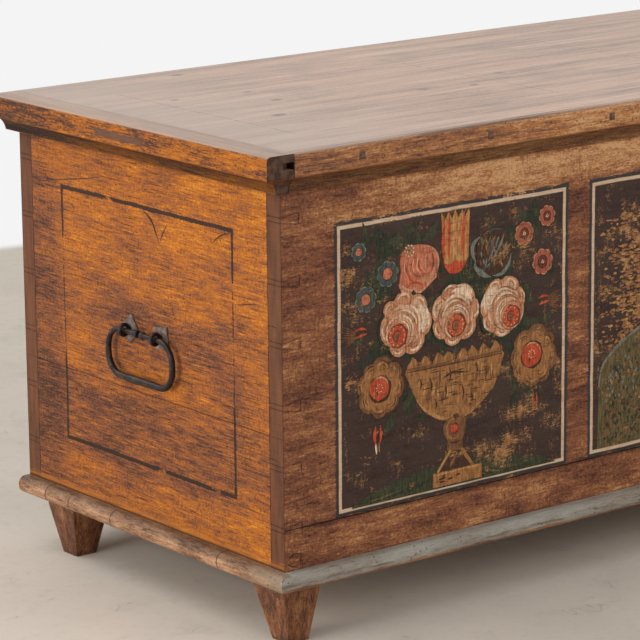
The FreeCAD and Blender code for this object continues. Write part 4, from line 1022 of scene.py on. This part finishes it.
def tall_tulip(picture, centre, foot, top):
    """A tulip striped from its coral foot to a toothed top."""
    half = 21
    body = [(centre - 8, foot), (centre - half + 2, foot + 16), (centre - half, top - 4)]
    teeth = 5
    for number in range(teeth):
        x = centre - half + 2 * half * number / (teeth - 1)
        body.append((x, top + dice.uniform(-1, 1)))
        if number < teeth - 1:
            body.append((x + half / (teeth - 1), top - 9))
    body += [(centre + half + 1, top - 4), (centre + half - 1, foot + 16), (centre + 8, foot)]
    picture.shape("yellow", body)
    middle = (foot + top) / 2
    for pigment, width, shares, path in (
        ("coral", 5.2, (-0.85, -0.45, 0.62), ((0, foot + 12), (-1, middle), (1, top - 2))),
        ("orange", 3.2, (-0.65, 0.1, 0.4, 0.85), ((0, foot + 18), (1, middle), (0, top - 6))),
        ("pink", 2.0, (-0.15, 0.25), ((0, foot + 20), (0, top - 10))),
    ):
        for share in shares:
            picture.stroke(pigment, counted_from((centre + half * share, 0), path), width)
    calyx = ((-18, 13), (-9, 0), (8, 0), (18, 13), (9, 11), (0, 15), (-9, 11))
    picture.patch("coral", counted_from((centre, foot), calyx))


def blue_tulip(picture, centre):
    """A grey-blue tulip, worn to brown, with a curled outer petal."""
    x, z = centre
    body = ((-20, 20), (-2, 28), (22, 26), (30, 4), (26, -18), (8, -27), (-14, -24), (-24, -4))
    picture.patch("umber", counted_from(centre, body))
    for _ in range(64):
        spot = (x + dice.uniform(-18, 22), z + dice.uniform(-21, 14))
        picture.stroke(dice.choice(("olive", "grey_blue", "grey_blue", "teal", "ochre", "brown_ochre")),
                       [spot, toward(spot, dice.uniform(40, 120), dice.uniform(6, 13))],
                       dice.uniform(1.6, 3.2))
    picture.strokes(centre, (
        ("grey_blue", 3.4, (2, -8), (14, 10), (20, 22)),
        ("grey_blue", 3.0, (-6, -10), (4, 6)),
        ("grey_blue", 6.0, (-18, 23), (-29, 15), (-30, 2), (-24, -8)),
        ("grey_blue", 7.5, (-26, -6), (-25, -15), (-12, -25), (-1, -29)),
        ("grey_blue", 5.5, (1, -28), (16, -27), (27, -17), (31, -4)),
        ("teal", 3.0, (-16, 24), (2, 29), (20, 27)),
        ("ochre", 3.4, (16, -2), (24, 3), (31, 9)),
    ))


def vase(picture, centre, floor):
    """A footed bowl with a rim of paired petals, on a stem, a pyramid and a plinth."""
    def at(x, z):
        return centre + x, floor + z

    def above_bowl(x, start):
        """A height over the bowl's lower edge, which curves up toward its sides."""
        return start + 52 * (abs(x) / 74) ** 2

    for x in (-64, -46, -25, -10, 13, 28, 46, 65):
        tip = 166 + dice.uniform(-2, 1)
        picture.shape("ochre",
                      [at(x - 10, 148), at(x - 9, 156), at(x - 5, 161), at(x - 1, tip), at(x + 5, 162),
                       at(x + 10, 157), at(x + 10, 148)])
        picture.stroke("yellow", [at(x - 6, 153), at(x - 2, 162)], 2.0)
        picture.stroke("umber", [at(x + 9, 150), at(x + 8, 157), at(x + 4, 163)], 1.2)
    bowl = [at(-75, 152), at(-70, 134), at(-61, 115), at(-46, 97), at(-20, 81), at(18, 80), at(39, 91),
            at(62, 110), at(74, 137), at(76, 152), at(40, 153), at(-40, 153)]
    picture.patch("ochre", bowl)
    for _ in range(38):
        x = dice.uniform(-64, 62)
        low = above_bowl(x, 84)
        tall = dice.uniform(8, 20)
        start = dice.uniform(low, max(low + 1, 148 - tall))
        picture.stroke(dice.choice(("yellow", "yellow", "ochre", "brown_ochre", "brown_ochre")),
                       [at(x, start), at(x + 1, start + tall)], dice.uniform(3, 6))
    for _ in range(60):
        x = dice.uniform(-60, 50)
        z = dice.uniform(above_bowl(x, 86), 148)
        picture.stroke(dice.choice(("umber", "brown_ochre", "umber")),
                       [at(x, z), at(x + dice.uniform(5, 18), z)], 1.1)
    for x, low, high in ((-38, 116, 138), (-15, 108, 124), (-8, 126, 146), (12, 100, 122), (34, 120, 147),
                         (-30, 96, 110), (48, 118, 138), (26, 96, 108), (-54, 124, 140)):
        picture.stroke("umber", [at(x, low), at(x + 2, (low + high) / 2), at(x - 1, high)], 2.4)
    picture.stroke("umber", [at(-20, 132), at(-2, 138), at(20, 134)], 3.2)
    picture.strokes((centre, floor), (
        ("brown_ochre", 3.0, (-74, 152), (-30, 151), (30, 151), (75, 152)),
        ("umber", 1.3, (-74, 149), (-30, 148.5), (30, 148.5), (75, 149)),
    ), EVEN)
    picture.stroke("yellow", [at(-62, 116), at(-46, 98), at(-20, 84), at(6, 81)], 4.0)
    picture.patch("brown_ochre",
                  [at(-9, 82), at(-17, 74), at(-17, 64), at(-11, 54), at(-11, 41), at(11, 39), at(12, 52),
                   at(17, 64), at(17, 76), at(12, 82)])
    picture.arc("ochre", at(0, 68), 13, 40, 320, 3.0)
    picture.dot("dark_red", at(0, 68), 7.6)
    picture.dot("coral", at(-1, 68), 6.0, 0.85)
    picture.dot("umber", at(2, 83), 4.6, 0.7)
    picture.stroke("umber", [at(-8, 52), at(0, 50), at(9, 52)], 3.0)
    picture.shape("umber", [at(-6, 42), at(11, 40), at(29, 17), at(-27, 17)])
    picture.strokes((centre, floor), (
        ("yellow", 3.6, (-6, 42), (-16, 30), (-27, 17)),
        ("ochre", 4.6, (11, 41), (19, 30), (29, 17)),
    ), EVEN)
    picture.stroke("brown_ochre", [at(-8, 20), at(2, 34)], 5.0)
    picture.shape("ochre", [at(-34, -1), at(43, -1), at(43, 17), at(-34, 17)])
    picture.stroke("yellow", [at(-32, 14), at(0, 15), at(40, 15)], 2.6, EVEN)
    for x, z, long in ((-26, 8, 13), (-12, 6, 10), (-24, 4, 8), (2, 9, 7), (-20, 11, 6)):
        picture.stroke("umber", [at(x, z), at(x + long, z + 1)], 3.0)


def foliage(picture, middle):
    """Dark leaves between the flowers, low in contrast with the ground."""
    for _ in range(64):
        x, z = middle + dice.uniform(-135, 135), dice.uniform(215, 370)
        leaf(picture, (x, z), dice.uniform(0, 360), dice.uniform(28, 46), dice.uniform(14, 24),
             dice.uniform(-5, 5), "dark_green")
    for _ in range(110):
        x, z = middle + dice.uniform(-140, 140), dice.uniform(150, 385)
        leaf(picture, (x, z), dice.uniform(0, 360), dice.uniform(16, 34), dice.uniform(7, 14),
             dice.uniform(-5, 5), dice.choice(("green", "green", "dark_green")))
    for _ in range(46):
        x, z = middle + dice.uniform(-150, 150), dice.uniform(110, 375)
        leaf(picture, (x, z), dice.choice((80, 100, 60, 120)) + dice.uniform(-15, 15), dice.uniform(9, 20),
             dice.uniform(1.0, 2.0), dice.uniform(-4, 4), dice.choice(("olive", "green", "brown_ochre")))


def mound(picture, left, right, floor, top):
    """The grass that the vase stands on."""
    middle = (left + right) / 2
    spans, blades = 12, 26

    def height(share, part=1.0):
        return floor + (top - floor) * part * math.sin(math.pi * share) ** 0.7

    shares = [number / spans for number in range(spans + 1)]
    path = [(left + (right - left) * share, height(share)) for share in shares]
    picture.shape("green", path + [(right, floor - 2), (left, floor - 2)], 0.2)
    for number in range(blades):
        share = (number + 0.5) / blades
        x = left + (right - left) * share
        pigment = dice.choice(("dark_green", "green", "olive"))
        tip = ((x + middle) / 2 + dice.uniform(-6, 6), (floor + height(share, 0.9)) / 2 + 2)
        picture.stroke(pigment, [(x - 8, floor + 2), tip], 4.0)


def hanging_buds(picture, centre):
    picture.strokes(centre, (
        ("coral", 4.6, (-3, 13), (-5, 0), (-3, -11)),
        ("coral", 3.6, (4, 13), (5, 1), (3, -10)),
        ("cream", 3.0, (-3, -8), (-2, -22)),
        ("pink", 1.4, (2, -8), (2, -20)),
    ))


def fan_strokes(picture, centre, side):
    """Thin straw-like strokes that fan out to the side, with two red ones."""
    for number in range(9):
        angle = (180 if side < 0 else 0) + (number - 4) * 7
        start = toward(centre, angle, 6)
        picture.stroke("brown_ochre", [start, toward(start, angle, dice.uniform(18, 30))], 1.4)
    picture.strokes(centre, (
        ("coral", 3.4, (-9, 5), (1, 7), (9, 5)),
        ("coral", 3.4, (-8, -3), (2, -1), (10, 0)),
    ))


def bouquet(picture, centre, side):
    """A vase of flowers. Side is 1 as on the left panel, and -1 turned round."""
    def at(x, z):
        return centre + (x - 258) * side, z

    foliage(picture, centre)
    mound(picture, *sorted((at(100, 0)[0], at(420, 0)[0])), 60, 87)
    fan_strokes(picture, at(114, 267), -side)
    fan_strokes(picture, at(400, 264), side)
    vase(picture, at(258, 0)[0], 61)
    ochre_flower(picture, at(144, 199), at(142, 198), 36)
    ochre_flower(picture, at(384, 198), at(381, 201), 38)
    hanging_buds(picture, at(139, 140))
    picture.stroke("coral", [at(384, 154), at(383, 140), at(384, 130)], 2.6)
    picture.stroke("coral", [at(389, 152), at(390, 140), at(388, 131)], 2.6)
    for x, z, size, heart in ((112, 366, 11, 4.6), (155, 334, 16, 7.0), (122, 308, 16, 6.6)):
        ringed_flower(picture, at(x, z), size, "teal", "grey_blue", "rose_red", heart)
    for x, z, size in ((405, 370, 13), (368, 353, 15), (398, 314, 16.5)):
        ringed_flower(picture, at(x, z), size, "madder", "salmon", "dark_red", size * 0.42)
        picture.dots("cream", at(x, z), 1.6, 0, 300, 4, 1.0)
    tall_tulip(picture, at(259, 0)[0], 321, 396)
    blue_tulip(picture, at(316, 336))
    red_bud(picture, at(200, 336))
    for place, size, heart, turn, fold in (
        ((259, 271), 38, (260, 256), 28, 62),
        ((182, 270), 39, (169, 257), 12, 8),
        ((334, 268), 37.5, (347, 254), 40, 150),
    ):
        rose(picture, at(*place), size, at(*heart), turn, fold if side > 0 else 180 - fold)


def hill_picture(picture, centre, half):
    """A rounded hill of mottled greens under a pale rim, with autumn trees rubbed thin above it."""
    def at(x, z):
        return centre + x, z

    trees = ((-110, 356, 16), (-74, 322, 16), (-34, 356, 18), (12, 318, 16), (58, 350, 18), (104, 330, 17))
    for middle, top, spread in trees:
        for _ in range(TREE_STROKES):
            x = max(12 - half, min(half - 24, dice.gauss(middle, spread)))
            z = dice.uniform(186, top)
            away = x + dice.uniform(3, 12)
            picture.stroke(dice.choice(("ochre", "ochre", "yellow", "yellow", "tan")),
                           [at(x, z), at((x + away) / 2, z + dice.uniform(-2, 2)), at(away, z)],
                           dice.uniform(1.4, 4.2))
    rim = [at(-148, 140), at(-143, 164), at(-128, 180), at(-102, 196), at(-70, 210), at(-30, 219),
           at(10, 221), at(50, 216), at(88, 204), at(122, 186), at(142, 160), at(148, 136)]
    picture.shape("olive", curve_points(rim, 3, False) + [at(150, 60), at(-150, 60)], 0.2)
    for _ in range(HILL_STROKES):
        x = dice.uniform(-140, 136)
        roof = 215 - 70 * (abs(x) / 148) ** 2
        z = dice.uniform(64, roof - 8)
        pigment = dice.choice(("green", "brown_ochre", "umber", "dark_green") if z < 110 else
                              ("teal", "grey_blue", "green", "green", "dark_green", "brown_ochre", "ochre"))
        picture.stroke(pigment, [at(x, z), at(x + dice.uniform(-5, 5), z + dice.uniform(3, 7))],
                       dice.uniform(1.6, 4.4))
    picture.stroke("grey_blue", rim, 3.4, EVEN)


# Marks of age that are drawn on the boards


def end_marks(picture):
    """Twigs that hang from the outline, and a few cracks."""
    picture.strokes((0, 0), (
        ("black_line", 3.0, (277, 391), (256, 379), (247, 366), (239, 351)),
        ("black_line", 2.2, (222, 380), (231, 368), (239, 354)),
        ("black_line", 1.6, (429, 373), (419, 367)),
        ("black_line", 1.8, (95, 389), (112, 384), (126, 376), (137, 367)),
        ("black_line", 1.2, (118, 381), (114, 372)),
        ("umber", 1.6, (513, 388), (455, 399), (396, 409), (350, 419)),
        ("black_line", 1.3, (43, 313), (66, 309), (88, 305)),
        ("black_line", 1.2, (8, 291), (18, 292), (29, 291)),
        ("black_line", 1.2, (10, 132), (20, 133), (32, 133)),
        ("umber", 1.2, (515, 268), (515, 300), (516, 332)),
    ))


def front_marks(picture):
    """Cracks round the lower left corner, and the dark bases of the dovetails."""
    picture.strokes((0, 0), (
        ("black_line", 1.8, (3, 12), (10, 18), (17, 20), (25, 18)),
        ("black_line", 1.8, (24, 18), (23.5, 10), (24.5, 4)),
        ("black_line", 1.4, (4, 9), (12, 5), (20, 3)),
    ))
    first_pin, pitch = 50, 73.6
    for pin in range(6):
        z = first_pin + pitch * pin
        picture.stroke("black_line", [(26, z - 7), (26.3, z), (26, z + 7)], 0.9)


def paint_panels(materials):
    def on_front(x, z, lift):
        return LEFT + x, FRONT - lift, CASE_BOTTOM + z

    def on_left_end(y, z, lift):
        return LEFT - lift, FRONT + y, CASE_BOTTOM + z

    def on_right_end(y, z, lift):
        return -LEFT + lift, FRONT + y, CASE_BOTTOM + z

    middle = -LEFT
    side_middle = (SIDE_PANEL_LEFT + SIDE_PANEL_RIGHT) / 2
    left_panel = Picture("left_panel_flowers", on_front)
    bouquet(left_panel, side_middle, 1)
    right_panel = Picture("right_panel_flowers", on_front)
    bouquet(right_panel, 2 * middle - side_middle, -1)
    middle_panel = Picture("middle_panel_hill", on_front, step=0.0002)
    hill_picture(middle_panel, middle, middle - MIDDLE_PANEL_LEFT)
    marks = Picture("front_age_marks", on_front)
    front_marks(marks)
    left_marks = Picture("left_end_marks", on_left_end, flip=True)
    end_marks(left_marks)
    right_marks = Picture("right_end_marks", on_right_end)
    end_marks(right_marks)
    for picture in (left_panel, right_panel, middle_panel, marks):
        picture.finish("case", "painted_front", materials)
    for picture in (left_marks, right_marks):
        picture.finish("case", "painted_end", materials)


def dress(name, material):
    mesh = frame["nodes"][name].data
    mesh.materials.clear()
    mesh.materials.append(material)


def finish_nodes():
    """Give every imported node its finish, by its material slot in the record."""
    flaking_tree = flaking_group()
    case_paint = case_finish(flaking_tree)
    cleat = trim_finish("cleat_paint", "y", CLEAT_TONES, 0.0, True)
    moulding = trim_finish("moulding_paint", "x", MOULDING_TONES, -0.01, False)
    by_slot = {
        "painted_front": case_paint, "painted_end": case_paint, "bare_back": case_paint,
        "painted_base": base_finish(), "painted_foot": foot_finish(), "worn_lid": lid_finish(),
        "painted_cleat": cleat, "painted_moulding": moulding, "inner_pine": pine_finish(),
        "wrought_iron": iron_finish(), "iron_nail": nail_finish(),
    }
    for subpart in frame["record"]["subparts"]:
        dress(subpart["node"], by_slot[subpart["material_slot"]])
    plate = plate_finish()
    for name in ("left_front_plate", "left_back_plate", "right_front_plate", "right_back_plate"):
        dress(name, plate)
    return {name: pigment_finish(name, colour, flaking_tree) for name, colour in PIGMENTS.items()}


# Floor, light and camera


FLOOR_COLOUR = (0.660, 0.590, 0.505)
WALL_WHITE = 0.905
ROOM_LIGHT = 0.54
FLOOR_EDGE = 1830.0
EDGE_SOFTNESS = 30.0
FLOOR_SIZE = 9.0

# Soft lights: name, place and target in metres, size in metres and power in watts
LIGHTS = (
    ("high_window", (-1.8, 1.8, 3.0), (0.0, 0.0, 0.2), 2.4, 40),
    ("left_window", (-3.3, 0.0, 0.9), (-0.3, 0.0, 0.2), 1.6, 52),
    ("front_fill", (1.6, -3.8, 2.2), (0.0, 0.0, 0.3), 2.4, 48),
)


def seen_directly(nodes):
    """1 for rays from the camera, and for those in a reflection or through glass."""
    path = nodes.add("ShaderNodeLightPath")
    return nodes.largest(*nodes.read(path, "Is Camera Ray", "Is Glossy Ray", "Is Transmission Ray"))


def build_floor():
    """A pale floor that turns into the white wall behind the trunk."""
    half = FLOOR_SIZE / 2
    mesh = bpy.data.meshes.new("floor")
    corners = [(-half, -half, 0), (half, -half, 0), (half, half, 0), (-half, half, 0)]
    mesh.from_pydata(corners, [], [(0, 1, 2, 3)])
    floor = bpy.data.objects.new("floor", mesh)
    bpy.context.scene.collection.objects.link(floor)
    s = Finish("floor")
    clouds = s.cloud(260.0, detail=5.0, roughness=0.6)
    stains = s.cloud(60.0, detail=4.0, roughness=0.65)
    grit = s.cloud(12.0)
    cracks = abs(s.streaks("y", 420.0, 240.0, detail=4.0) - 0.5)
    colour = s.darker(FLOOR_COLOUR, s.fade(clouds, 0.40, 0.66), 0.94)
    colour = s.darker(colour, s.fade(stains, 0.50, 0.74), 0.92)
    colour = s.darker(colour, s.fade(grit, 0.5, 0.72), 0.95)
    colour = s.darker(colour, s.fade(cracks, 0.0025, 0.001) * s.fade(stains, 0.54, 0.62), 0.84)
    s.done(colour, 0.75, grit, depth=0.1)
    radius = s.math("SQRT", s.x * s.x + s.y * s.y)
    far = s.fade(radius, FLOOR_EDGE - EDGE_SOFTNESS, FLOOR_EDGE + EDGE_SOFTNESS) * seen_directly(s)
    glow = s.make("ShaderNodeEmission", {"Color": (WALL_WHITE, WALL_WHITE, WALL_WHITE)})
    seen = s.make("ShaderNodeMixShader", {0: far, 1: s.read(s.shader, 0)[0], 2: glow})
    s.feed(s.tree.nodes["Material Output"], {"Surface": seen})
    mesh.materials.append(s.material)


def build_world(strength):
    world = bpy.data.worlds.new("studio")
    world.use_nodes = True
    bpy.context.scene.world = world
    n = Nodes(world.node_tree)
    background = world.node_tree.nodes["Background"]
    share = seen_directly(n)
    n.feed(background, {"Color": (1.0, 1.0, 1.0), "Strength": strength + share * (WALL_WHITE - strength)})


def soft_light(name, place, target, size, power):
    lamp = bpy.data.lights.new(name, "AREA")
    lamp.shape = "SQUARE"
    lamp.size = size
    lamp.energy = power
    light = bpy.data.objects.new(name, lamp)
    light.location = place
    light.rotation_euler = (Vector(target) - Vector(place)).to_track_quat("-Z", "Y").to_euler()
    bpy.context.scene.collection.objects.link(light)


# The photograph's camera, solved from the trunk's edges
CAMERA_PLACE = (-2.8523, -3.1713, 1.2655)
CAMERA_YAW = 37.9875
CAMERA_PITCH = 13.493
CAMERA_ROLL = -0.5603
CAMERA_LENS = 184.61
SENSOR = 36.0


def build_camera():
    yaw, pitch, roll = (math.radians(angle) for angle in (CAMERA_YAW, CAMERA_PITCH, CAMERA_ROLL))
    ahead = Vector((math.sin(yaw) * math.cos(pitch), math.cos(yaw) * math.cos(pitch), -math.sin(pitch)))
    level = Vector((math.cos(yaw), -math.sin(yaw), 0.0))
    above = level.cross(ahead)
    right = level * math.cos(roll) + above * math.sin(roll)
    up = above * math.cos(roll) - level * math.sin(roll)
    data = bpy.data.cameras.new("camera")
    data.lens = CAMERA_LENS
    data.sensor_width = SENSOR
    data.sensor_fit = "HORIZONTAL"
    camera = bpy.data.objects.new("camera", data)
    turn = Matrix((right, up, -ahead)).transposed().to_4x4()
    camera.matrix_world = Matrix.Translation(CAMERA_PLACE) @ turn
    bpy.context.scene.collection.objects.link(camera)
    bpy.context.scene.camera = camera


materials = finish_nodes()
paint_panels(materials)
build_floor()
build_world(ROOM_LIGHT)
for light in LIGHTS:
    soft_light(*light)
build_camera()
bpy.context.scene.view_settings.view_transform = "Standard"
